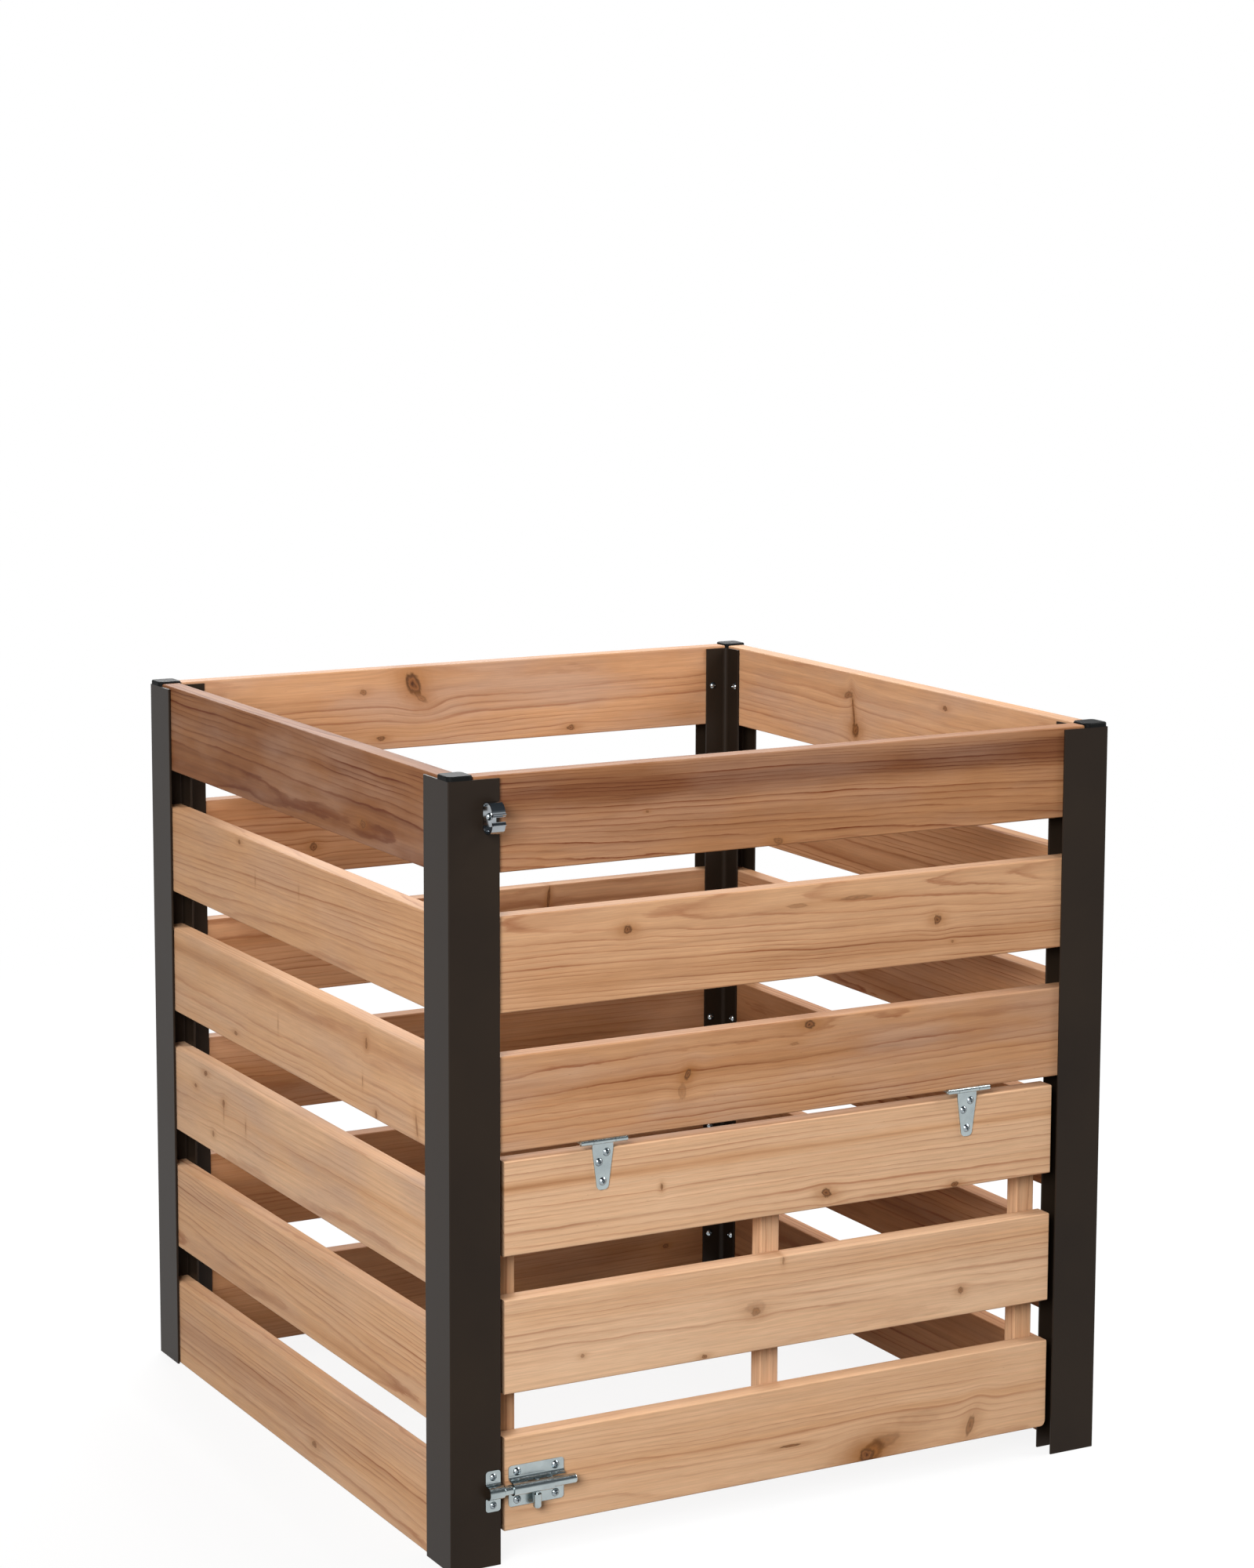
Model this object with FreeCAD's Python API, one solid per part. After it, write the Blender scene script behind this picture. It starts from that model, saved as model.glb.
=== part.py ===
"""Square slatted compost bin: aluminium corner posts, cedar boards and a bolted flap door.

Sizes are in millimetres, +Z up. Pieces are worked out from the outer front left corner of
the bin, x to the right and y to the rear, and move to the bin's own origin, the middle of
its footprint on the ground, when they are written.
"""
import FreeCAD, Part
import math
import os
from collections import namedtuple

os.makedirs("parts", exist_ok=True)
V = FreeCAD.Vector

# Overall sizes and boards
WIDTH = 717.0
DEPTH = 717.0
BOARD_HEIGHT = 88.9
BOARD_THICKNESS = 20.0
BOARD_GAP = 40.0
BOARD_ROWS = 6
FIXED_FRONT_ROWS = 3
BOARD_EDGE_RADIUS = 1.5
BOARD_END_CLEARANCE = 0.8
BOARD_PROUD = 2.4           # the top boards stand this far above the posts

# Corner posts: one extrusion, a square core with an outer and an inner pair of flanges
POST_WALL = 2.2
SLOT_CLEARANCE = 1.0        # in front of a board; its back lies on the inner flange
FLANGE = 51.2
INNER_CORNER_RADIUS = 5.0
POST_CORNER_RADIUS = 1.2
SLOT_CORNER_RADIUS = 0.9
FLANGE_EDGE_RADIUS = 0.6

# Post caps
CAP_THICKNESS = 4.5
CAP_CORNER_RADIUS = 5.0
CAP_EDGE_RADIUS = 1.5
CAP_PLUG_DEPTH = 14.0
CAP_PLUG_WALL = 1.6
CAP_PLUG_CLEARANCE = 0.3

# Door
DOOR_TOP_GAP = 8.7
DOOR_SIDE_GAP = 5.5
DOOR_BOARD_GAP = 41.0
DOOR_CORNER_RADIUS = 7.0    # lower right corner of the lowest board
BATTEN_WIDTH = 20.0
BATTEN_DEPTH = 17.0
BATTEN_END_SETBACK = 6.0
LEFT_BATTEN_INSET = 0.5
RIGHT_BATTEN_INSET = 5.0
MIDDLE_BATTEN_OFFSET = -8.0
BATTEN_EDGE_RADIUS = 1.0

# Tee hinges
HINGE_SPACING = 402.0
KNUCKLE_DIAMETER = 5.2
HINGE_PIN_DIAMETER = 2.6
HINGE_PIN_CLEARANCE = 0.1   # in the strap's knuckle, which turns
HINGE_PIN_SEAT = 0.02       # in the fixed knuckles, which hold the pin
HINGE_WIDTH = 48.4
STRAP_KNUCKLE_WIDTH = 22.6
KNUCKLE_GAP = 0.35
KNUCKLE_FACE_GAP = 0.3      # between the turning knuckle and the board above
HINGE_SHEET = 1.2
LEAF_DEPTH = 16.0            # behind the door's front face
STRAP_TOP_WIDTH = 21.8
STRAP_TIP_WIDTH = 11.5
STRAP_REACH = 38.5          # below the door's top edge
STRAP_TIP_RADIUS = 4.5
PIN_HEAD_DIAMETER = 3.8
PIN_HEAD_HEIGHT = 0.8

# Barrel bolt, its keeper and the clip that holds the door open
ROD_DIAMETER = 9.0
ROD_CLEARANCE = 0.35
ROD_FACE_GAP = 0.8          # between the rod and the posts' front faces
ROD_BELOW_BOARD_MIDDLE = 2.0
ROD_TAIL = 1.2              # rod end past the plate when the bolt is shot
ROD_END_RADIUS = 1.4
BOLT_ENGAGEMENT = 7.0       # rod length inside the keeper when the bolt is shot
BOLT_REST_CLEARANCE = 0.6   # between rod and keeper when the bolt is drawn
BOLT_SPARE_TRAVEL = 8.9     # further travel after the rod has left the keeper
PLATE_WIDTH = 57.0
PLATE_CORNER_RADIUS = 3.0
PLATE_INSET = 3.5           # from the door's end
PLATE_SHEET = 1.2
PLATE_FLARE = 3.2
PLATE_SCREW_SPREAD_X = 19.8
PLATE_SCREW_ROOM = 0.15     # between a screw head and the bend beside it
PLATE_SCREW_EDGE = 6.1      # from a screw's middle to the plate's edge
BARREL_LENGTH = 41.2
STUD_DIAMETER = 4.0
STUD_FROM_PLATE_END = 18.1  # stud axis from the plate's left edge when the bolt is shot
STUD_CLEARANCE = 0.35       # in the barrel's slots
STUD_SEAT = 0.02            # in the rod
KNOB_DIAMETER = 8.0
KNOB_DROP = 2.2             # below the barrel
KNOB_LENGTH = 13.5
KEEPER_WIDTH = 15.0
KEEPER_FLARE = 2.0
KEEPER_CLEARANCE = 0.5
KEEPER_EDGE_INSET = 1.0     # from the flange's free edge
CLIP_WIDTH = 13.0
CLIP_EDGE_INSET = 4.2       # from the flange's free edge
CLIP_SHEET = 1.2
CLIP_HEIGHT = 30.0
CLIP_DEPTH = 19.6           # from the post to the front of the arms
CLIP_ARM_RADIUS = 10.5
CLIP_ROD_STANDOFF = 11.5    # rod axis in front of the post when the clip holds it
CLIP_DROP = 3.0             # clip's middle below that rod axis
CLIP_MOUTH = 4.4
CLIP_LIP_HEIGHT = 3.3       # from the mouth's edge to the lip's tip
CLIP_LIP_REACH = 1.9        # lip's tip in front of the arms

# Screws
ScrewKind = namedtuple("ScrewKind", "head_diameter head_height shank_diameter length")
Screw = namedtuple("Screw", "kind at towards")
POST_SCREW = ScrewKind(8.0, 2.6, 4.0, 19.0)
BATTEN_SCREW = ScrewKind(8.0, 2.6, 4.0, 32.0)
HARDWARE_SCREW = ScrewKind(8.0, 2.4, 3.6, 14.0)
KEEPER_SCREW = ScrewKind(7.2, 2.2, 3.6, 9.5)
SCREW_POINT = 4.0
RECESS_SPAN = 4.4           # cross recess in the head
RECESS_FLOOR = 1.6
RECESS_SLOT = 1.0
RECESS_DEPTH = 1.9
SCREW_CLEARANCE = 0.1
HOLE_BOTTOM_CLEARANCE = 0.3
POST_SCREW_EDGE = 8.2       # from a screw's middle to the flange's free edge
BATTEN_SCREW_SPREAD = 22.0  # above and below a board's middle
LEAF_SCREW_SPREAD = 15.5    # to each side of a hinge's middle
LEAF_SCREW_DEPTH = 10.0     # behind the door's front face
STRAP_SCREWS = ((4.0, 3.4), (-4.0, 12.0), (0.0, 30.6))  # sideways, below the door's top

# Worked out from the sizes above
SLOT = BOARD_THICKNESS + SLOT_CLEARANCE
CORE = SLOT + 2 * POST_WALL
BOARD_FACE = POST_WALL + SLOT_CLEARANCE
BOARD_BACK = BOARD_FACE + BOARD_THICKNESS
BOARD_PITCH = BOARD_HEIGHT + BOARD_GAP
STACK_HEIGHT = BOARD_ROWS * BOARD_HEIGHT + (BOARD_ROWS - 1) * BOARD_GAP
POST_HEIGHT = STACK_HEIGHT - BOARD_PROUD
DOOR_ROWS = BOARD_ROWS - FIXED_FRONT_ROWS
DOOR_LEFT = FLANGE + DOOR_SIDE_GAP
DOOR_RIGHT = WIDTH - DOOR_LEFT
POST_SCREW_INSET = FLANGE - POST_SCREW_EDGE


def board_bottom(row):
    """Underside of a fixed board; row 1 is the top one."""
    return (BOARD_ROWS - row) * BOARD_PITCH


DOOR_TOP = board_bottom(FIXED_FRONT_ROWS) - DOOR_TOP_GAP


def door_board_bottom(row):
    """Underside of a door board; row 1 is the top one."""
    return DOOR_TOP - row * BOARD_HEIGHT - (row - 1) * DOOR_BOARD_GAP


DOOR_BOTTOM = door_board_bottom(DOOR_ROWS)

HINGE_MIDDLES = {
    "left": WIDTH / 2 - HINGE_SPACING / 2,
    "right": WIDTH / 2 + HINGE_SPACING / 2,
}
KNUCKLE_RADIUS = KNUCKLE_DIAMETER / 2
PIN_RADIUS = HINGE_PIN_DIAMETER / 2
LEAF_TOP = board_bottom(FIXED_FRONT_ROWS)
HINGE_Z = LEAF_TOP - HINGE_SHEET / 2
HINGE_Y = BOARD_FACE - KNUCKLE_RADIUS - KNUCKLE_FACE_GAP

ROD_RADIUS = ROD_DIAMETER / 2
ROD_Y = -(ROD_RADIUS + ROD_FACE_GAP)
ROD_Z = door_board_bottom(DOOR_ROWS) + BOARD_HEIGHT / 2 - ROD_BELOW_BOARD_MIDDLE
KEEPER_RIGHT = FLANGE - KEEPER_EDGE_INSET
KEEPER_MIDDLE = KEEPER_RIGHT - KEEPER_WIDTH / 2
PLATE_LEFT = DOOR_LEFT + PLATE_INSET
PLATE_RIGHT = PLATE_LEFT + PLATE_WIDTH
DRAW_BACK = BOLT_ENGAGEMENT + BOLT_REST_CLEARANCE
ROD_LEFT = KEEPER_RIGHT + BOLT_REST_CLEARANCE
ROD_RIGHT = PLATE_RIGHT + ROD_TAIL + DRAW_BACK
STUD_SHOT_X = PLATE_LEFT + STUD_FROM_PLATE_END
STUD_X = STUD_SHOT_X + DRAW_BACK
STUD_RADIUS = STUD_DIAMETER / 2
SLOT_LEFT_X = STUD_SHOT_X - STUD_RADIUS - STUD_CLEARANCE
SLOT_RIGHT_X = STUD_X + BOLT_SPARE_TRAVEL + STUD_RADIUS + STUD_CLEARANCE
BARREL_INSIDE = ROD_RADIUS + ROD_CLEARANCE
BARREL_OUTSIDE = BARREL_INSIDE + PLATE_SHEET
PLATE_SCREW_SPREAD_Z = (BARREL_OUTSIDE + PLATE_FLARE + HARDWARE_SCREW.head_diameter / 2
                        + PLATE_SCREW_ROOM)
PLATE_HEIGHT = 2 * (PLATE_SCREW_SPREAD_Z + PLATE_SCREW_EDGE)

# The door opens until the rod, swung over the hinge line, stands in the middle of the clip.
ROD_BEFORE_HINGE = HINGE_Y - ROD_Y
ROD_BELOW_HINGE = HINGE_Z - ROD_Z
ROD_SWING_RADIUS = math.hypot(ROD_BEFORE_HINGE, ROD_BELOW_HINGE)
ROD_SWING_PHASE = math.atan2(ROD_BELOW_HINGE, ROD_BEFORE_HINGE)
CLIP_LEAN = math.acos((-CLIP_ROD_STANDOFF - HINGE_Y) / ROD_SWING_RADIUS) - ROD_SWING_PHASE
DOOR_OPEN_DEGREES = 180.0 - math.degrees(CLIP_LEAN)
CLIP_Z = (HINGE_Z + ROD_BEFORE_HINGE * math.sin(CLIP_LEAN)
          + ROD_BELOW_HINGE * math.cos(CLIP_LEAN) - CLIP_DROP)
CLIP_RIGHT = FLANGE - CLIP_EDGE_INSET
CLIP_LEFT = CLIP_RIGHT - CLIP_WIDTH
CLIP_MIDDLE = (CLIP_LEFT + CLIP_RIGHT) / 2

# Origin: the middle of the footprint, from the clip's front to the rear posts
FRONT_REACH = CLIP_DEPTH + CLIP_LIP_REACH
ORIGIN = V(WIDTH / 2, (DEPTH - FRONT_REACH) / 2, 0)


def box(x0, x1, y0, y1, z0, z1):
    """Block between two corners."""
    return Part.makeBox(x1 - x0, y1 - y0, z1 - z0, V(x0, y0, z0))


def bar(x0, x1, y, z, radius):
    """Round bar along x."""
    return Part.makeCylinder(radius, x1 - x0, V(x0, y, z), V(1, 0, 0))


def edges_along(shape, axis):
    """Straight edges parallel to an axis."""
    found = []
    for edge in shape.Edges:
        if len(edge.Vertexes) != 2:
            continue
        run = edge.Vertexes[1].Point.sub(edge.Vertexes[0].Point)
        if run.Length > 0 and abs(abs(run.dot(axis)) - run.Length) < 1e-6:
            found.append(edge)
    return found


def upright_edges(shape, points):
    """Vertical edges that stand at the given (x, y) points."""
    found = []
    for edge in edges_along(shape, V(0, 0, 1)):
        foot = edge.Vertexes[0].Point
        if any(math.hypot(foot.x - x, foot.y - y) < 1e-4 for x, y in points):
            found.append(edge)
    return found


def cross_recess(kind):
    """Two crossed slots, sunk from the crown of a head that sits on z = 0, crown below."""
    crown = -kind.head_height
    floor = crown + RECESS_DEPTH
    side = [V(-RECESS_SPAN / 2, 0, crown), V(RECESS_SPAN / 2, 0, crown),
            V(RECESS_FLOOR / 2, 0, floor), V(-RECESS_FLOOR / 2, 0, floor)]
    wing = Part.Face(Part.makePolygon(side + side[:1])).extrude(V(0, RECESS_SLOT, 0))
    wing.translate(V(0, -RECESS_SLOT / 2, 0))
    crossed = wing.copy()
    crossed.rotate(V(0, 0, 0), V(0, 0, 1), 90)
    return wing.fuse(crossed)


def screw_blank(kind):
    """Domed head with a cross recess, plain shank and a pointed end, driven along +Z."""
    head_radius = kind.head_diameter / 2
    shank_radius = kind.shank_diameter / 2
    dome_radius = (head_radius ** 2 + kind.head_height ** 2) / (2 * kind.head_height)
    dome = Part.makeSphere(dome_radius, V(0, 0, dome_radius - kind.head_height))
    head = dome.cut(Part.makeCylinder(head_radius * 2, dome_radius * 2))
    plain = kind.length - SCREW_POINT
    shank = Part.makeCylinder(shank_radius, plain)
    point = Part.makeCone(shank_radius, shank_radius / 5, SCREW_POINT, V(0, 0, plain))
    return head.fuse([shank, point]).removeSplitter().cut(cross_recess(kind))


SCREW_BLANKS = {kind: screw_blank(kind)
                for kind in (POST_SCREW, BATTEN_SCREW, HARDWARE_SCREW, KEEPER_SCREW)}


def screw_solid(screw):
    """A screw where it is driven."""
    turned = SCREW_BLANKS[screw.kind].copy()
    turned.Placement = FreeCAD.Placement(screw.at, FreeCAD.Rotation(V(0, 0, 1), screw.towards))
    return turned


def screw_hole(screw):
    """Hole that takes a screw's shank with a little room."""
    radius = screw.kind.shank_diameter / 2 + SCREW_CLEARANCE
    start = screw.at - screw.towards
    return Part.makeCylinder(radius, screw.kind.length + HOLE_BOTTOM_CLEARANCE + 1,
                             start, screw.towards)


def drilled(shape, screws):
    """Cut the holes of the screws that reach a piece."""
    reach = shape.BoundBox
    holes = [screw_hole(screw) for screw in screws]
    near = [hole for hole in holes if reach.intersect(hole.BoundBox)]
    if not near:
        return shape
    return shape.cut(near)


def mirrored_screw(screw, right, rear):
    """A screw of the front left corner, taken to another corner."""
    at = V(screw.at)
    towards = V(screw.towards)
    if right:
        at.x = WIDTH - at.x
        towards.x = -towards.x
    if rear:
        at.y = DEPTH - at.y
        towards.y = -towards.y
    return Screw(screw.kind, at, towards)


def corner_screws(right, rear):
    """One screw in each board end that a post holds, driven from inside the bin."""
    screws = []
    for row in range(1, BOARD_ROWS + 1):
        z = board_bottom(row) + BOARD_HEIGHT / 2
        screws.append(Screw(POST_SCREW, V(CORE, POST_SCREW_INSET, z), V(-1, 0, 0)))
        if rear or row <= FIXED_FRONT_ROWS:
            screws.append(Screw(POST_SCREW, V(POST_SCREW_INSET, CORE, z), V(0, -1, 0)))
    return [mirrored_screw(screw, right, rear) for screw in screws]


def post_blank():
    """The post's extrusion at the front left corner, before drilling."""
    outer = box(0, FLANGE, 0, POST_WALL, 0, POST_HEIGHT)
    inner_start = CORE - POST_WALL
    limbs = [
        box(0, POST_WALL, 0, FLANGE, 0, POST_HEIGHT),
        box(0, CORE, 0, CORE, 0, POST_HEIGHT),
        box(inner_start, FLANGE, inner_start, CORE, 0, POST_HEIGHT),
        box(inner_start, CORE, inner_start, FLANGE, 0, POST_HEIGHT),
    ]
    post = outer.fuse(limbs).removeSplitter()
    slot_corners = [(CORE, POST_WALL), (CORE, inner_start), (POST_WALL, CORE), (inner_start, CORE)]
    free_edges = []
    for wall_edge in (0, POST_WALL, inner_start, CORE):
        free_edges += [(FLANGE, wall_edge), (wall_edge, FLANGE)]
    post = post.makeFillet(INNER_CORNER_RADIUS, upright_edges(post, [(CORE, CORE)]))
    post = post.makeFillet(SLOT_CORNER_RADIUS, upright_edges(post, slot_corners))
    post = post.makeFillet(POST_CORNER_RADIUS, upright_edges(post, [(0, 0)]))
    post = post.makeFillet(FLANGE_EDGE_RADIUS, upright_edges(post, free_edges))
    bore = box(POST_WALL, inner_start, POST_WALL, inner_start, 0, POST_HEIGHT)
    bore = bore.makeFillet(SLOT_CORNER_RADIUS, edges_along(bore, V(0, 0, 1)))
    return post.cut(bore)


def cap_blank():
    """Plastic cap of the front left post: a rounded plate on a hollow plug."""
    top = POST_HEIGHT + CAP_THICKNESS
    plate = box(0, CORE, 0, CORE, POST_HEIGHT, top)
    plate = plate.makeFillet(CAP_CORNER_RADIUS, edges_along(plate, V(0, 0, 1)))
    rim = [edge for edge in plate.Edges if abs(edge.BoundBox.ZMin - top) < 1e-6]
    plate = plate.makeFillet(CAP_EDGE_RADIUS, rim)
    low = POST_WALL + CAP_PLUG_CLEARANCE
    high = CORE - low
    foot = POST_HEIGHT - CAP_PLUG_DEPTH
    plug = box(low, high, low, high, foot, POST_HEIGHT)
    plug = plug.makeFillet(SLOT_CORNER_RADIUS, edges_along(plug, V(0, 0, 1)))
    hollow = box(low + CAP_PLUG_WALL, high - CAP_PLUG_WALL, low + CAP_PLUG_WALL,
                 high - CAP_PLUG_WALL, foot, POST_HEIGHT)
    return plate.fuse(plug).removeSplitter().cut(hollow)


def at_corner(shape, right, rear):
    """Take a piece of the front left corner to another corner."""
    if right:
        shape = shape.mirror(V(WIDTH / 2, 0, 0), V(1, 0, 0))
    if rear:
        shape = shape.mirror(V(0, DEPTH / 2, 0), V(0, 1, 0))
    return shape


def board(x0, x1, y0, y1, z0):
    """Board on edge, its long edges eased."""
    blank = box(x0, x1, y0, y1, z0, z0 + BOARD_HEIGHT)
    grain = V(1, 0, 0) if x1 - x0 > y1 - y0 else V(0, 1, 0)
    return blank.makeFillet(BOARD_EDGE_RADIUS, edges_along(blank, grain))


def strap_face(x, back, height, sheet, inside, flare, centre_z):
    """Section of a sheet strip that arches over the rod.

    The strip lies on a face at y = back, bends forward on a radius, runs straight out to the
    rod's axis and closes in a half circle round it. u is the distance in front of the face,
    v the height above the rod's axis.
    """
    axis = back - ROD_Y
    outside = inside + sheet
    half = height / 2
    bend_u = sheet + flare
    bend_v = outside + flare
    slant = math.sqrt(0.5)

    def at(u, v):
        return V(x, back - u, centre_z + v)

    def line(start, end):
        return Part.makeLine(at(*start), at(*end))

    def arc(start, middle, end):
        return Part.Arc(at(*start), at(*middle), at(*end)).toShape()

    edges = [line((0, -half), (sheet, -half))]
    edges.append(line((sheet, -half), (sheet, -bend_v)))
    edges.append(arc((sheet, -bend_v), (bend_u - flare * slant, -bend_v + flare * slant),
                     (bend_u, -outside)))
    edges.append(line((bend_u, -outside), (axis, -outside)))
    edges.append(arc((axis, -outside), (axis + outside, 0), (axis, outside)))
    edges.append(line((axis, outside), (bend_u, outside)))
    edges.append(arc((bend_u, outside), (bend_u - flare * slant, bend_v - flare * slant),
                     (sheet, bend_v)))
    edges.append(line((sheet, bend_v), (sheet, half)))
    edges.append(line((sheet, half), (0, half)))
    edges.append(line((0, half), (0, bend_v)))
    edges.append(arc((0, bend_v), (bend_u - bend_u * slant, bend_v - bend_u * slant),
                     (bend_u, inside)))
    edges.append(line((bend_u, inside), (axis, inside)))
    edges.append(arc((axis, inside), (axis + inside, 0), (axis, -inside)))
    edges.append(line((axis, -inside), (bend_u, -inside)))
    edges.append(arc((bend_u, -inside), (bend_u - bend_u * slant, -bend_v + bend_u * slant),
                     (0, -bend_v)))
    edges.append(line((0, -bend_v), (0, -half)))
    return Part.Face(Part.Wire(edges))


def rounded_strip_corners(shape, x0, x1, face_y, z0, z1, radius, sheet):
    """Round the four corners of a flat strip on a face at y = face_y."""
    front = face_y - sheet
    corners = []
    for edge in edges_along(shape, V(0, 1, 0)):
        spot = edge.Vertexes[0].Point
        on_x = min(abs(spot.x - x0), abs(spot.x - x1)) < 1e-4
        on_z = min(abs(spot.z - z0), abs(spot.z - z1)) < 1e-4
        if on_x and on_z and spot.y > front - 1e-4:
            corners.append(edge)
    return shape.makeFillet(radius, corners)


def hinge_fixed_leaf(middle):
    """Leaf under the third front board, with the two outer knuckles."""
    left = middle - HINGE_WIDTH / 2
    right = middle + HINGE_WIDTH / 2
    notch_left = middle - STRAP_KNUCKLE_WIDTH / 2 - KNUCKLE_GAP
    notch_right = middle + STRAP_KNUCKLE_WIDTH / 2 + KNUCKLE_GAP
    leaf = box(left, right, HINGE_Y, BOARD_FACE + LEAF_DEPTH, LEAF_TOP - HINGE_SHEET, LEAF_TOP)
    knuckles = [bar(left, notch_left, HINGE_Y, HINGE_Z, KNUCKLE_RADIUS),
                bar(notch_right, right, HINGE_Y, HINGE_Z, KNUCKLE_RADIUS)]
    swing_room = KNUCKLE_RADIUS + HINGE_SHEET
    notch = box(notch_left, notch_right, HINGE_Y - swing_room, HINGE_Y + swing_room,
                HINGE_Z - swing_room, HINGE_Z + swing_room)
    bore = bar(left, right, HINGE_Y, HINGE_Z, PIN_RADIUS + HINGE_PIN_SEAT)
    return leaf.fuse(knuckles).removeSplitter().cut([notch, bore])


def hinge_strap(middle):
    """Tapered strap on the door with the middle knuckle."""
    top = HINGE_Z - KNUCKLE_RADIUS / 2
    tip = DOOR_TOP - STRAP_REACH
    half_top = STRAP_TOP_WIDTH / 2
    half_tip = STRAP_TIP_WIDTH / 2
    outline = [V(middle - half_top, BOARD_FACE, top), V(middle - half_top, BOARD_FACE, DOOR_TOP),
               V(middle - half_tip, BOARD_FACE, tip), V(middle + half_tip, BOARD_FACE, tip),
               V(middle + half_top, BOARD_FACE, DOOR_TOP), V(middle + half_top, BOARD_FACE, top)]
    sheet = Part.Face(Part.makePolygon(outline + outline[:1])).extrude(V(0, -HINGE_SHEET, 0))
    tip_edges = [edge for edge in edges_along(sheet, V(0, 1, 0))
                 if abs(edge.Vertexes[0].Point.z - tip) < 1e-4]
    sheet = sheet.makeFillet(STRAP_TIP_RADIUS, tip_edges)
    half_knuckle = STRAP_KNUCKLE_WIDTH / 2
    knuckle = bar(middle - half_knuckle, middle + half_knuckle, HINGE_Y, HINGE_Z, KNUCKLE_RADIUS)
    bore = bar(middle - half_knuckle, middle + half_knuckle, HINGE_Y, HINGE_Z,
               PIN_RADIUS + HINGE_PIN_CLEARANCE)
    return sheet.fuse(knuckle).removeSplitter().cut(bore)


def hinge_pin(middle):
    """Pin through the three knuckles, with a riveted head at each end."""
    half = HINGE_WIDTH / 2
    shaft = bar(middle - half, middle + half, HINGE_Y, HINGE_Z, PIN_RADIUS)
    heads = []
    for end, away in ((middle - half, -1), (middle + half, 1)):
        head = Part.makeCone(PIN_HEAD_DIAMETER / 2, PIN_RADIUS / 2, PIN_HEAD_HEIGHT,
                             V(end, HINGE_Y, HINGE_Z), V(away, 0, 0))
        heads.append(head)
    return shaft.fuse(heads).removeSplitter()


def bolt_plate():
    """Bolt plate with its barrel: one sheet, arched over the rod and slotted for the stud."""
    low = ROD_Z - PLATE_HEIGHT / 2
    high = ROD_Z + PLATE_HEIGHT / 2
    section = strap_face(PLATE_LEFT, BOARD_FACE, PLATE_HEIGHT, PLATE_SHEET, BARREL_INSIDE,
                         PLATE_FLARE, ROD_Z)
    plate = section.extrude(V(PLATE_WIDTH, 0, 0))
    plate = rounded_strip_corners(plate, PLATE_LEFT, PLATE_RIGHT, BOARD_FACE, low, high,
                                  PLATE_CORNER_RADIUS, PLATE_SHEET)
    flare_front = BOARD_FACE - PLATE_SHEET - PLATE_FLARE
    open_tail = box(PLATE_LEFT + BARREL_LENGTH, PLATE_RIGHT + 1, ROD_Y - 2 * BARREL_OUTSIDE,
                    flare_front, low, high)
    stud_room = STUD_RADIUS + STUD_CLEARANCE
    upper_slot = box(SLOT_LEFT_X, SLOT_RIGHT_X, ROD_Y - stud_room, ROD_Y + stud_room,
                     ROD_Z, ROD_Z + 2 * BARREL_OUTSIDE)
    lower_slot = box(SLOT_LEFT_X, SLOT_RIGHT_X, ROD_Y - stud_room, flare_front + PLATE_FLARE / 2,
                     ROD_Z - BARREL_OUTSIDE - PLATE_FLARE / 2, ROD_Z)
    return plate.cut([open_tail, upper_slot, lower_slot])


def bolt_keeper():
    """Keeper on the left post: a strip with an arch for the rod."""
    section = strap_face(KEEPER_RIGHT - KEEPER_WIDTH, 0, PLATE_HEIGHT, PLATE_SHEET,
                         ROD_RADIUS + KEEPER_CLEARANCE, KEEPER_FLARE, ROD_Z)
    keeper = section.extrude(V(KEEPER_WIDTH, 0, 0))
    return rounded_strip_corners(keeper, KEEPER_RIGHT - KEEPER_WIDTH, KEEPER_RIGHT, 0,
                                 ROD_Z - PLATE_HEIGHT / 2, ROD_Z + PLATE_HEIGHT / 2,
                                 PLATE_CORNER_RADIUS, PLATE_SHEET)


def bolt_rod():
    """Sliding rod, drawn back, with a cross hole for the stud."""
    rod = bar(ROD_LEFT, ROD_RIGHT, ROD_Y, ROD_Z, ROD_RADIUS)
    ends = [edge for edge in rod.Edges if len(edge.Vertexes) == 1]
    rod = rod.makeFillet(ROD_END_RADIUS, ends)
    hole = Part.makeCylinder(STUD_RADIUS + STUD_SEAT, 2 * ROD_DIAMETER,
                             V(STUD_X, ROD_Y, ROD_Z - ROD_DIAMETER))
    return rod.cut(hole)


def bolt_knob():
    """Stud through the rod with the finger knob on its lower end."""
    knob_top = ROD_Z - BARREL_OUTSIDE - KNOB_DROP
    knob_radius = KNOB_DIAMETER / 2
    knob = Part.makeCylinder(knob_radius, KNOB_LENGTH, V(STUD_X, ROD_Y, knob_top - KNOB_LENGTH))
    rim = [edge for edge in knob.Edges
           if len(edge.Vertexes) == 1 and edge.BoundBox.ZMax < knob_top - KNOB_LENGTH / 2]
    knob = knob.makeFillet(knob_radius * 0.6, rim)
    stud_top = ROD_Z + BARREL_OUTSIDE + STUD_CLEARANCE
    stud = Part.makeCylinder(STUD_RADIUS, stud_top - knob_top, V(STUD_X, ROD_Y, knob_top))
    return knob.fuse(stud).removeSplitter()


def clip_oval(inset):
    """Block with the clip's upright oval outline, drawn in by the inset."""
    radius = CLIP_ARM_RADIUS - inset
    middle_y = CLIP_ARM_RADIUS - CLIP_DEPTH
    spread = CLIP_HEIGHT / 2 - CLIP_ARM_RADIUS
    waist = box(CLIP_LEFT, CLIP_RIGHT, middle_y - radius, middle_y + radius, CLIP_Z - spread,
                CLIP_Z + spread)
    ends = [bar(CLIP_LEFT, CLIP_RIGHT, middle_y, CLIP_Z + side * spread, radius)
            for side in (-1, 1)]
    return waist.fuse(ends).removeSplitter()


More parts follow.
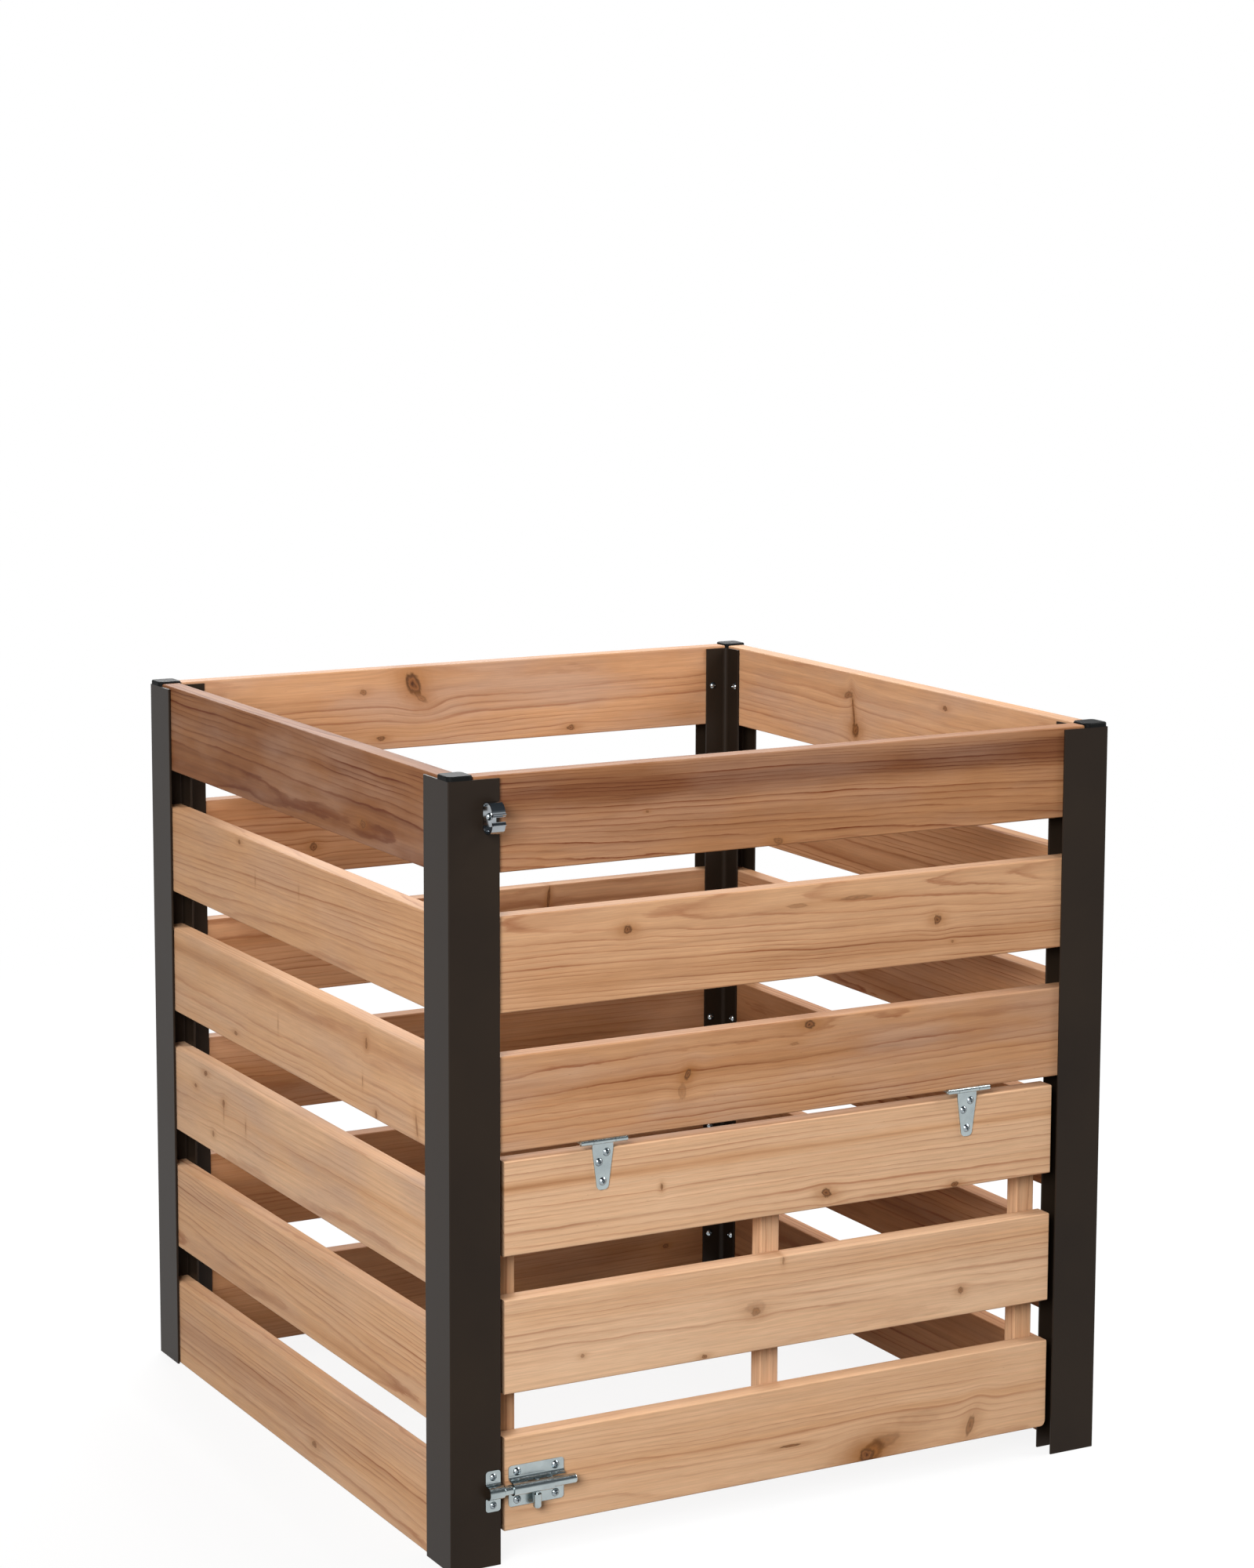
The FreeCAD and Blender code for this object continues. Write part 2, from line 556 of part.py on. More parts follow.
def clip_lip(side):
    """Strip of sheet with round edges that flares from the mouth above (1) or below (-1)."""
    half = CLIP_SHEET / 2
    root = V(CLIP_LEFT, half - CLIP_DEPTH, CLIP_Z + side * (CLIP_MOUTH / 2 + half))
    tip = root + V(0, -CLIP_LIP_REACH, side * (CLIP_LIP_HEIGHT - CLIP_SHEET))
    run = tip - root
    across = V(0, -run.z, run.y) * (half / run.Length)
    outline = [root + across, tip + across, tip - across, root - across]
    strip = Part.Face(Part.makePolygon(outline + outline[:1])).extrude(V(CLIP_WIDTH, 0, 0))
    rounds = [bar(CLIP_LEFT, CLIP_RIGHT, end.y, end.z, half) for end in (root, tip)]
    return strip.fuse(rounds)


def hold_open_clip():
    """Spring clip: a flat foot, two round arms and flared lips at the mouth."""
    middle_y = CLIP_ARM_RADIUS - CLIP_DEPTH
    half_height = CLIP_HEIGHT / 2
    foot_half = (half_height - CLIP_ARM_RADIUS
                 + math.sqrt(CLIP_ARM_RADIUS ** 2 - middle_y ** 2))
    behind = box(CLIP_LEFT, CLIP_RIGHT, 0, CLIP_DEPTH, CLIP_Z - half_height, CLIP_Z + half_height)
    mouth = box(CLIP_LEFT, CLIP_RIGHT, -2 * CLIP_DEPTH, middle_y, CLIP_Z - CLIP_MOUTH / 2,
                CLIP_Z + CLIP_MOUTH / 2)
    arms = clip_oval(0).cut([clip_oval(CLIP_SHEET), behind, mouth])
    foot = box(CLIP_LEFT, CLIP_RIGHT, -CLIP_SHEET, 0, CLIP_Z - foot_half, CLIP_Z + foot_half)
    return arms.fuse([foot] + [clip_lip(side) for side in (-1, 1)]).removeSplitter()


def batten_lefts():
    """Left edge of each door batten."""
    middle = (DOOR_LEFT + DOOR_RIGHT) / 2 + MIDDLE_BATTEN_OFFSET
    return {
        "left": DOOR_LEFT + LEFT_BATTEN_INSET,
        "middle": middle - BATTEN_WIDTH / 2,
        "right": DOOR_RIGHT - RIGHT_BATTEN_INSET - BATTEN_WIDTH,
    }


def batten_screws():
    """Two screws from each batten into each door board."""
    screws = []
    for left in batten_lefts().values():
        for row in range(1, DOOR_ROWS + 1):
            middle = door_board_bottom(row) + BOARD_HEIGHT / 2
            for side in (-1, 1):
                at = V(left + BATTEN_WIDTH / 2, BOARD_BACK + BATTEN_DEPTH,
                       middle + side * BATTEN_SCREW_SPREAD)
                screws.append(Screw(BATTEN_SCREW, at, V(0, -1, 0)))
    return screws


def strap_screws():
    """Three screws in each hinge strap."""
    return [Screw(HARDWARE_SCREW, V(middle + across, BOARD_FACE - HINGE_SHEET, DOOR_TOP - down),
                  V(0, 1, 0))
            for middle in HINGE_MIDDLES.values() for across, down in STRAP_SCREWS]


def leaf_screws():
    """Two screws up through each fixed leaf into the board above."""
    return [Screw(HARDWARE_SCREW,
                  V(middle + side * LEAF_SCREW_SPREAD, BOARD_FACE + LEAF_SCREW_DEPTH,
                    LEAF_TOP - HINGE_SHEET), V(0, 0, 1))
            for middle in HINGE_MIDDLES.values() for side in (-1, 1)]


def plate_screws():
    """A screw in each corner of the bolt plate."""
    middle = PLATE_LEFT + PLATE_WIDTH / 2
    return [Screw(HARDWARE_SCREW,
                  V(middle + side * PLATE_SCREW_SPREAD_X, BOARD_FACE - PLATE_SHEET,
                    ROD_Z + end * PLATE_SCREW_SPREAD_Z), V(0, 1, 0))
            for side in (-1, 1) for end in (-1, 1)]


def keeper_screws():
    """A screw above and below the keeper's arch."""
    return [Screw(KEEPER_SCREW, V(KEEPER_MIDDLE, -PLATE_SHEET, ROD_Z + end * PLATE_SCREW_SPREAD_Z),
                  V(0, 1, 0)) for end in (-1, 1)]


def clip_screws():
    """The screw in the clip's foot."""
    return [Screw(KEEPER_SCREW, V(CLIP_MIDDLE, -CLIP_SHEET, CLIP_Z), V(0, 1, 0))]


def write(name, shape):
    """Move a piece to the bin's origin and write it."""
    moved = shape.copy()
    moved.translate(ORIGIN * -1)
    moved.exportStep("parts/" + name + ".step")


def write_screws(name, screws):
    """Write a group of screws as separate solids of one node."""
    write(name, Part.makeCompound([screw_solid(screw) for screw in screws]))


CORNERS = {
    "front_left": (False, False),
    "front_right": (True, False),
    "rear_left": (False, True),
    "rear_right": (True, True),
}
post_screws = []
for right, rear in CORNERS.values():
    post_screws += corner_screws(right, rear)
front_screws = keeper_screws() + clip_screws()

blank_post = post_blank()
blank_cap = cap_blank()
for corner, (right, rear) in CORNERS.items():
    post = at_corner(blank_post, right, rear)
    write("post_" + corner, drilled(post, post_screws + front_screws))
    write("cap_" + corner, at_corner(blank_cap, right, rear))

board_end = CORE + BOARD_END_CLEARANCE
for row in range(1, BOARD_ROWS + 1):
    z = board_bottom(row)
    left = board(BOARD_FACE, BOARD_BACK, board_end, DEPTH - board_end, z)
    right = board(WIDTH - BOARD_BACK, WIDTH - BOARD_FACE, board_end, DEPTH - board_end, z)
    rear = board(board_end, WIDTH - board_end, DEPTH - BOARD_BACK, DEPTH - BOARD_FACE, z)
    write("left_board_%d" % row, drilled(left, post_screws))
    write("right_board_%d" % row, drilled(right, post_screws))
    write("rear_board_%d" % row, drilled(rear, post_screws))
for row in range(1, FIXED_FRONT_ROWS + 1):
    front = board(board_end, WIDTH - board_end, BOARD_FACE, BOARD_BACK, board_bottom(row))
    write("front_board_%d" % row, drilled(front, post_screws + clip_screws() + leaf_screws()))

door_screws = batten_screws() + strap_screws() + plate_screws()
for row in range(1, DOOR_ROWS + 1):
    door_board = board(DOOR_LEFT, DOOR_RIGHT, BOARD_FACE, BOARD_BACK, door_board_bottom(row))
    if row == DOOR_ROWS:
        corner = box(DOOR_LEFT, DOOR_RIGHT, 0, 2 * BOARD_BACK, DOOR_BOTTOM, POST_HEIGHT)
        corner_edge = [edge for edge in edges_along(corner, V(0, 1, 0))
                       if edge.Vertexes[0].Point.x > DOOR_LEFT + 1
                       and edge.Vertexes[0].Point.z < DOOR_BOTTOM + 1]
        door_board = door_board.common(corner.makeFillet(DOOR_CORNER_RADIUS, corner_edge))
    write("door_board_%d" % row, drilled(door_board, door_screws))
for name, left in batten_lefts().items():
    batten = box(left, left + BATTEN_WIDTH, BOARD_BACK, BOARD_BACK + BATTEN_DEPTH,
                 DOOR_BOTTOM + BATTEN_END_SETBACK, DOOR_TOP - BATTEN_END_SETBACK)
    batten = batten.makeFillet(BATTEN_EDGE_RADIUS, edges_along(batten, V(0, 0, 1)))
    write("door_batten_" + name, drilled(batten, door_screws))

for side, middle in HINGE_MIDDLES.items():
    write("hinge_%s_fixed_leaf" % side, drilled(hinge_fixed_leaf(middle), leaf_screws()))
    write("hinge_%s_strap" % side, drilled(hinge_strap(middle), strap_screws()))
    write("hinge_%s_pin" % side, hinge_pin(middle))
write("bolt_plate", drilled(bolt_plate(), plate_screws()))
write("bolt_rod", bolt_rod())
write("bolt_knob", bolt_knob())
write("bolt_keeper", drilled(bolt_keeper(), keeper_screws()))
write("hold_open_clip", drilled(hold_open_clip(), clip_screws()))

write_screws("post_screws", post_screws)
write_screws("batten_screws", batten_screws())
write_screws("hinge_strap_screws", strap_screws())
write_screws("hinge_leaf_screws", leaf_screws())
write_screws("bolt_plate_screws", plate_screws())
write_screws("keeper_screws", keeper_screws())
write_screws("clip_screw", clip_screws())

hinge_at = V(WIDTH / 2, HINGE_Y, HINGE_Z) - ORIGIN
print("door hinge axis at", hinge_at, "opens to", round(DOOR_OPEN_DEGREES, 3), "degrees")
print("bolt travel: drawn", -BOLT_SPARE_TRAVEL, "shot", DRAW_BACK)
print("clip middle", V(CLIP_MIDDLE, 0, CLIP_Z) - ORIGIN)
print("rod axis", V(ROD_LEFT, ROD_Y, ROD_Z) - ORIGIN, "stud", STUD_X - ORIGIN.x)
print("inside of the bin", V(CORE, CORE, 0) - ORIGIN,
      V(WIDTH - CORE, DEPTH - CORE, STACK_HEIGHT) - ORIGIN)
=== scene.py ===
# %% [markdown]
# # A slatted cedar compost bin
#
# Four dark powder-coated posts hold rows of cedar boards. The front opens below: three boards
# on battens hang from two zinc hinges as a flap door, which a barrel bolt holds shut. The
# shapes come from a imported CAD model, so most of this lesson is about finishes: how to make
# boards that look cut from a log, and metal that looks plated.

# %% The tools and the frame
import math

import bpy
import numpy as np
from mathutils import Matrix, Vector


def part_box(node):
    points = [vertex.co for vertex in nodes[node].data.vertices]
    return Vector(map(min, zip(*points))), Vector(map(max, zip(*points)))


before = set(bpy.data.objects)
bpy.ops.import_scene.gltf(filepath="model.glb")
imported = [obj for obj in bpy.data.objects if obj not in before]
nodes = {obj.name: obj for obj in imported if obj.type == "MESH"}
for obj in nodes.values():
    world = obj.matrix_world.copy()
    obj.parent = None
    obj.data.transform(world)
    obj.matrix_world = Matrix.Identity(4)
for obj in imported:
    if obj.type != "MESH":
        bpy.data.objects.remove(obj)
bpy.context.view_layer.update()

# %% [markdown]
# ## The camera
#
# The bin was photographed from the front left, a little above its rim, with a long lens. Its
# place and turns were fitted to the corners of the boards and posts. The picture is a tall
# frame in which the bin sits low, so the lens is shifted and the camera isn't tilted to fit.
# An unturned camera looks straight down, so it is raised by a right angle less its dip.

# %% The camera
SENSOR_MM, LENS_MM = 36.0, 82.0
SHIFT_X, SHIFT_Y = 0.03, -0.06
FARTHEST_SEEN = 100.0
CAMERA_PLACE = Vector((-1.7224, -3.1445, 1.2500))
CAMERA_HEADING, CAMERA_DIP, CAMERA_ROLL = 28.14, 7.988, 0.086
RIGHT_ANGLE = 90.0

camera_data = bpy.data.cameras.new("camera")
camera_data.sensor_width = SENSOR_MM
camera_data.lens = LENS_MM
camera_data.shift_x = SHIFT_X
camera_data.shift_y = SHIFT_Y
camera_data.clip_end = FARTHEST_SEEN
camera = bpy.data.objects.new("camera", camera_data)
bpy.context.scene.collection.objects.link(camera)
camera.matrix_world = (
    Matrix.Translation(CAMERA_PLACE)
    @ Matrix.Rotation(math.radians(-CAMERA_HEADING), 4, "Z")
    @ Matrix.Rotation(math.radians(RIGHT_ANGLE - CAMERA_DIP), 4, "X")
    @ Matrix.Rotation(math.radians(CAMERA_ROLL), 4, "Z")
)
bpy.context.scene.camera = camera
bpy.context.scene.view_settings.view_transform = "Standard"
print("camera with a", LENS_MM, "mm lens,", round(CAMERA_PLACE.length, 2), "m from the origin")

# %% [markdown]
# ## Two helpers for materials
#
# Colours are easiest to judge as the hex values that a screen shows, but a renderer counts in
# linear light. One function turns the first into the second. A second function adds a node,
# sets it up and wires it, so that a material reads as a list of what it is made of.
#
# Where sockets of a node share a name, they go by number: 0, 1 and 2 are what a Math node works
# on, 1 to 4 are the limits of a Map Range (from low, from high, to low, to high), and 0, 6 and 7
# are the share and the two colours of a Mix, whose output 2 is the mixed colour.

# %% Colours and nodes
NEAR_BLACK = 0.04045


def colour(code):
    """Linear RGBA of an sRGB hex code: each channel is c / 12.92 near black, else
    ((c + 0.055) / 1.055) to the power 2.4."""
    parts = [int(code[i:i + 2], 16) / 255.0 for i in (1, 3, 5)]
    linear = [c / 12.92 if c <= NEAR_BLACK else ((c + 0.055) / 1.055) ** 2.4 for c in parts]
    return linear + [1.0]


def add(tree, kind, inputs=(), stops=(), **settings):
    """Adds a node. inputs maps sockets to values, nodes (their first output) or sockets, and
    stops are the places and colours of a colour ramp, its two ends first."""
    node = tree.nodes.new(kind)
    for name, value in settings.items():
        setattr(node, name, value)
    for socket, value in dict(inputs).items():
        if isinstance(value, bpy.types.Node):
            value = value.outputs[0]
        if isinstance(value, bpy.types.NodeSocket):
            tree.links.new(value, node.inputs[socket])
        else:
            node.inputs[socket].default_value = value
    for i, (place, code) in enumerate(stops):
        ramp = node.color_ramp.elements
        stop = ramp[i] if i < 2 else ramp.new(place)
        stop.position = place
        stop.color = colour(code)
    return node


print("#808080 is", round(colour("#808080")[0], 3), "in linear light")

# %% [markdown]
# ## How a board gets its grain
#
# A board is a slice of a log, and what it shows on its faces is where it cuts the log's rings.
# So the material works out the rings in the solid, not a picture on the surface: the distance
# from the pith, the log's middle line, divided by the width of a ring. A face that passes close
# to the pith cuts the rings at a slant and shows arches, and one further off shows straight
# lines. The end of the same board then shows curved rings, with nothing more to do.
#
# Every length here is in millimetres, along the grain, through the board and up the board.

# %% Noise that follows the grain
NOISE_MIDDLE = 0.5


def grain_noise(tree, place, along, across, detail=2.0):
    """Soft noise whose blobs are `along` by `across` mm: the place is divided by those lengths
    before the noise reads it."""
    drawn_out = add(tree, "ShaderNodeVectorMath",
                    {0: place, 1: (1 / along, 1 / across, 1 / across)}, operation="MULTIPLY")
    return add(tree, "ShaderNodeTexNoise",
               {"Vector": drawn_out, "Scale": 1.0, "Detail": detail})


def swayed(tree, base, place, along, across, amount):
    """base + amount (noise - 0.5), with noise that follows the grain."""
    noise = grain_noise(tree, place, along, across)
    centred = add(tree, "ShaderNodeMath", {0: noise, 1: NOISE_MIDDLE}, operation="SUBTRACT")
    return add(tree, "ShaderNodeMath", {0: centred, 1: amount, 2: base},
               operation="MULTIPLY_ADD")


print("noise that varies about", NOISE_MIDDLE, "moves a value either way")

# %% [markdown]
# Counted from the pith, each place of the board lies in some ring. Noise of four lengths makes
# the rings wander, wave and fray, and slower noise over the count itself makes some of them wide
# and others narrow.

# %% Which ring a place is in
# Each board says how far its rings wander. Waves and fraying are the same in all: how long they
# are along the grain, how wide across it, and how far they move a ring.
WANDER_LENGTH, WANDER_WIDTH = 320.0, 90.0
RING_WAVES = ((110.0, 26.0, 3.8), (26.0, 5.0, 1.2), (12.0, 0.9, 0.5))
# Good and bad years come in runs: how fast they change per ring, and how many rings they add.
RUN_PACE, RUN_SWING = 0.22, 2.8


def ring_count(tree, given, own):
    """How many rings lie between the pith and a place: the distance from the pith's line, plus
    the taper along it and the noise, divided by the width of a ring."""
    out_from_pith = add(tree, "ShaderNodeVectorMath", {0: given["place"], 1: given["pith"]},
                        operation="SUBTRACT")
    across = add(tree, "ShaderNodeVectorMath", {0: out_from_pith, 1: (0.0, 1.0, 1.0)},
                 operation="MULTIPLY")
    distance = add(tree, "ShaderNodeVectorMath", {0: across}, operation="LENGTH").outputs["Value"]
    along = add(tree, "ShaderNodeSeparateXYZ", {0: given["place"]}).outputs["X"]
    total = add(tree, "ShaderNodeMath", {0: along, 1: given["taper"], 2: distance},
                operation="MULTIPLY_ADD")
    wander = (WANDER_LENGTH, WANDER_WIDTH, given["wander"])
    for length, width, depth in (wander, *RING_WAVES):
        total = swayed(tree, total, own, length, width, depth)
    count = add(tree, "ShaderNodeMath", {0: total, 1: given["ring"]}, operation="DIVIDE")
    slow_count = add(tree, "ShaderNodeMath", {0: count, 1: RUN_PACE}, operation="MULTIPLY")
    runs = add(tree, "ShaderNodeTexNoise", {"W": slow_count, "Scale": 1.0, "Detail": 1.0},
               noise_dimensions="1D")
    return add(tree, "ShaderNodeMath", {0: runs, 1: RUN_SWING, 2: count},
               operation="MULTIPLY_ADD")


print("waves and fraying move a ring over", [depth for *_, depth in RING_WAVES], "mm")

# %% [markdown]
# A ring is pale spring wood that darkens slowly, then a thin line of summer wood that stops
# sharply. A ramp over the fraction of a ring draws that. Each ring is as strong as a random
# number for its count says, and each line fades here and there along the board.

# %% How dark a ring is
WEAKEST_YEAR = 0.3
RING_PROFILE = ((0.0, "#505050"), (1.0, "#505050"), (0.08, "#000000"), (0.4, "#343434"),
                (0.74, "#989898"), (0.87, "#ffffff"), (0.95, "#e8e8e8"))
FADE_LENGTH, FADE_WIDTH = 170.0, 16.0
FADE_LOW, FADE_HIGH, FADED = 0.34, 0.6, 0.22


def make_rings(tree, given, own):
    """How much summer wood there is at a place, from 0 to 1."""
    count = ring_count(tree, given, own)
    year = add(tree, "ShaderNodeMath", {0: count}, operation="FLOOR")
    season = add(tree, "ShaderNodeMath", {0: count}, operation="FRACT")
    luck = add(tree, "ShaderNodeTexWhiteNoise", {"W": year}, noise_dimensions="1D")
    strength = add(tree, "ShaderNodeMapRange", {0: luck, 3: WEAKEST_YEAR, 4: 1.0})
    profile = add(tree, "ShaderNodeValToRGB", {0: season}, RING_PROFILE)
    patches = grain_noise(tree, own, FADE_LENGTH, FADE_WIDTH)
    fading = add(tree, "ShaderNodeMapRange",
                 {0: patches, 1: FADE_LOW, 2: FADE_HIGH, 3: FADED, 4: 1.0})
    lasting = add(tree, "ShaderNodeMath", {0: strength, 1: fading}, operation="MULTIPLY")
    return add(tree, "ShaderNodeMath", {0: profile, 1: lasting}, operation="MULTIPLY")


print("a ring's profile has", len(RING_PROFILE), "stops")

# %% [markdown]
# The colour between the lines runs from cream sapwood to brown heartwood. One number, the
# tone, picks it from a ramp: each board has its own, slow noise moves it about, and a band of
# heartwood raises it at one height of the board. Handling and weather leave a thin grey film
# in patches. The summer wood's lines multiply what they cross by an orange brown.

# %% The wood's colour
HEART_STREAK_LENGTH, HEART_STREAK_WIDTH, HEART_STREAK_DETAIL = 700.0, 11.0, 3.0
HEART_STREAK_LOW, HEART_STREAK_HIGH, BETWEEN_STREAKS = 0.35, 0.62, 0.35
# How long and wide the patches of another tone are, and how much they move it.
TONE_PATCHES = ((260.0, 60.0, 0.2), (500.0, 10.0, 0.26), (60.0, 22.0, 0.14))
WOOD_TONES = ((0.0, "#e0ba97"), (1.0, "#7b4d30"), (0.33, "#d0a27a"), (0.66, "#b07e56"))
FILM_LENGTH, FILM_WIDTH, FILM_DETAIL = 150.0, 40.0, 4.0
FILM_LOW, FILM_HIGH = 0.42, 0.66
FILM_COLOUR, SUMMER_COLOUR = "#b89a87", "#a2622c"


def heart_band(tree, given, own, up):
    """How much heartwood there is: exp(-d^2), with d the height above the band's middle in
    spreads of the band, broken up by long streaks."""
    above = add(tree, "ShaderNodeMath", {0: up, 1: given["heart_height"]}, operation="SUBTRACT")
    off = add(tree, "ShaderNodeMath", {0: above, 1: given["heart_spread"]}, operation="DIVIDE")
    squared = add(tree, "ShaderNodeMath", {0: off, 1: off}, operation="MULTIPLY")
    minus = add(tree, "ShaderNodeMath", {0: squared, 1: -1.0}, operation="MULTIPLY")
    near = add(tree, "ShaderNodeMath", {0: minus}, operation="EXPONENT")
    streaks = grain_noise(tree, own, HEART_STREAK_LENGTH, HEART_STREAK_WIDTH,
                          HEART_STREAK_DETAIL)
    broken = add(tree, "ShaderNodeMapRange",
                 {0: streaks, 1: HEART_STREAK_LOW, 2: HEART_STREAK_HIGH, 3: BETWEEN_STREAKS,
                  4: 1.0})
    return add(tree, "ShaderNodeMath", {0: near, 1: broken}, operation="MULTIPLY")


def wood_colour(tree, given, own, up, rings):
    """The wood's colour with its film and its summer lines."""
    heartwood = heart_band(tree, given, own, up)
    tone = add(tree, "ShaderNodeMath", {0: heartwood, 1: given["heart"], 2: given["tone"]},
               operation="MULTIPLY_ADD")
    for length, width, amount in TONE_PATCHES:
        tone = swayed(tree, tone, own, length, width, amount)
    body = add(tree, "ShaderNodeValToRGB", {0: tone}, WOOD_TONES)
    patches = grain_noise(tree, own, FILM_LENGTH, FILM_WIDTH, FILM_DETAIL)
    film = add(tree, "ShaderNodeMapRange",
               {0: patches, 1: FILM_LOW, 2: FILM_HIGH, 3: 0.0, 4: given["film"]})
    filmed = add(tree, "ShaderNodeMix", {0: film, 6: body, 7: colour(FILM_COLOUR)},
                 data_type="RGBA").outputs[2]
    summer = add(tree, "ShaderNodeMath", {0: rings, 1: given["line"]}, operation="MULTIPLY")
    return add(tree, "ShaderNodeMix", {0: summer, 6: filmed, 7: colour(SUMMER_COLOUR)},
               data_type="RGBA", blend_type="MULTIPLY").outputs[2]


print("wood from", WOOD_TONES[0][1], "to", WOOD_TONES[1][1])

# %% [markdown]
# Streaks and fibres make the wood lighter and darker by some percent, scattered flecks are
# darker still, and so are the sawn ends. The fibres also set how rough it is, and together with
# the rings how high, because the plane leaves the hard summer wood standing a little proud.

# %% Streaks, fibres and flecks
STREAK_LENGTH, STREAK_WIDTH, STREAK_DETAIL = 150.0, 2.2, 3.0
FIBRE_LENGTH, FIBRE_WIDTH, FIBRE_DETAIL = 20.0, 0.6, 3.0
FLECK_LENGTH, FLECK_WIDTH, FLECK_DETAIL = 5.0, 1.3, 0.0
MOST_LOW, MOST_HIGH = 0.25, 0.75
STREAK_DARK, FIBRE_DARK, BRIGHT = 0.89, 0.91, 1.08
FLECK_LOW, FLECK_HIGH, FLECK_DARK = 0.85, 0.9, 0.8
END_DARK = 0.8


def wood_light(tree, given, own, along, fibres):
    """What the wood's lightness is multiplied by."""
    streaks = grain_noise(tree, own, STREAK_LENGTH, STREAK_WIDTH, STREAK_DETAIL)
    flecks = grain_noise(tree, own, FLECK_LENGTH, FLECK_WIDTH, FLECK_DETAIL)
    streaky = add(tree, "ShaderNodeMapRange",
                  {0: streaks, 1: MOST_LOW, 2: MOST_HIGH, 3: STREAK_DARK, 4: BRIGHT})
    fibrous = add(tree, "ShaderNodeMapRange",
                  {0: fibres, 1: MOST_LOW, 2: MOST_HIGH, 3: FIBRE_DARK, 4: BRIGHT})
    flecked = add(tree, "ShaderNodeMapRange",
                  {0: flecks, 1: FLECK_LOW, 2: FLECK_HIGH, 3: 1.0, 4: FLECK_DARK})
    far_along = add(tree, "ShaderNodeMath", {0: along}, operation="ABSOLUTE")
    end = add(tree, "ShaderNodeMath", {0: far_along, 1: given["half_length"]},
              operation="GREATER_THAN")
    end_shade = add(tree, "ShaderNodeMapRange", {0: end, 3: 1.0, 4: END_DARK})
    light = add(tree, "ShaderNodeMath", {0: streaky, 1: fibrous}, operation="MULTIPLY")
    light = add(tree, "ShaderNodeMath", {0: light, 1: flecked}, operation="MULTIPLY")
    return add(tree, "ShaderNodeMath", {0: light, 1: end_shade}, operation="MULTIPLY")


print("widths in mm: streaks", STREAK_WIDTH, "fibres", FIBRE_WIDTH, "flecks", FLECK_WIDTH)

# %% [markdown]
# All of it goes into one node group, because all boards and battens share it. Each of them sets
# its own numbers on the group's sockets.

# %% The cedar
CEDAR_INPUTS = (
    ("place", "Vector"), ("seed", "Vector"), ("pith", "Vector"), ("taper", "Float"),
    ("ring", "Float"), ("wander", "Float"), ("line", "Float"), ("tone", "Float"),
    ("heart", "Float"), ("heart_height", "Float"), ("heart_spread", "Float"),
    ("film", "Float"), ("half_length", "Float"))
CEDAR_OUTPUTS = (("colour", "Color"), ("roughness", "Float"), ("height", "Float"))
CEDAR_SMOOTH, CEDAR_ROUGH = 0.58, 0.74
RING_HEIGHT = 0.5


def new_group(name, inputs, outputs):
    """A node group with the sockets given as (name, kind) pairs. Returns its tree and the
    sockets from which its nodes read its inputs."""
    tree = bpy.data.node_groups.new(name, "ShaderNodeTree")
    for side, sockets in (("INPUT", inputs), ("OUTPUT", outputs)):
        for socket, kind in sockets:
            tree.interface.new_socket(socket, in_out=side, socket_type="NodeSocket" + kind)
    return tree, tree.nodes.new("NodeGroupInput").outputs


def make_cedar():
    """The group that turns a place in a board into cedar: colour, roughness and height."""
    tree, given = new_group("cedar", CEDAR_INPUTS, CEDAR_OUTPUTS)
    own = add(tree, "ShaderNodeVectorMath", {0: given["place"], 1: given["seed"]},
              operation="ADD")
    parts = add(tree, "ShaderNodeSeparateXYZ", {0: given["place"]}).outputs
    rings = make_rings(tree, given, own)
    fibres = grain_noise(tree, own, FIBRE_LENGTH, FIBRE_WIDTH, FIBRE_DETAIL)
    wood = wood_colour(tree, given, own, parts["Z"], rings)
    light = wood_light(tree, given, own, parts["X"], fibres)
    grained = add(tree, "ShaderNodeHueSaturation", {"Value": light, "Color": wood})
    roughness = add(tree, "ShaderNodeMapRange", {0: fibres, 3: CEDAR_SMOOTH, 4: CEDAR_ROUGH})
    raised = add(tree, "ShaderNodeMath", {0: rings, 1: RING_HEIGHT, 2: fibres},
                 operation="MULTIPLY_ADD")
    add(tree, "NodeGroupOutput",
        {"colour": grained, "roughness": roughness, "height": raised})
    return tree


cedar_group = make_cedar()
print("the cedar group has", len(cedar_group.nodes), "nodes")

# %% [markdown]
# ## Knots
#
# A knot is the foot of a branch. The log grew round it, so the rings part above and below and
# close again behind, and the branch itself shows as a brown oval with its bark as a dark rim.
# Both come from the same numbers, the knot's place and half sizes: one group pulls places near
# the knot towards its height, which spreads the rings round it, and another paints the oval,
# its rim and the warmer wood beside it.

# %% Places round a knot
KNOT_INPUTS = (("place", "Vector"), ("knot", "Vector"), ("size", "Vector"), ("lean", "Float"))


def from_knot(tree, given):
    """How far a place is from a knot, in the knot's half sizes along and up the board, after a
    shear by the knot's lean, which moves it along by that much for each mm up."""
    off = add(tree, "ShaderNodeVectorMath", {0: given["place"], 1: given["knot"]},
              operation="SUBTRACT")
    up = add(tree, "ShaderNodeSeparateXYZ", {0: off}).outputs["Z"]
    shift = add(tree, "ShaderNodeMath", {0: up, 1: given["lean"]}, operation="MULTIPLY")
    shear = add(tree, "ShaderNodeCombineXYZ", {"X": shift})
    upright = add(tree, "ShaderNodeVectorMath", {0: off, 1: shear}, operation="SUBTRACT")
    flat = add(tree, "ShaderNodeVectorMath", {0: upright, 1: (1.0, 0.0, 1.0)},
               operation="MULTIPLY")
    return add(tree, "ShaderNodeVectorMath", {0: flat, 1: given["size"]}, operation="DIVIDE")


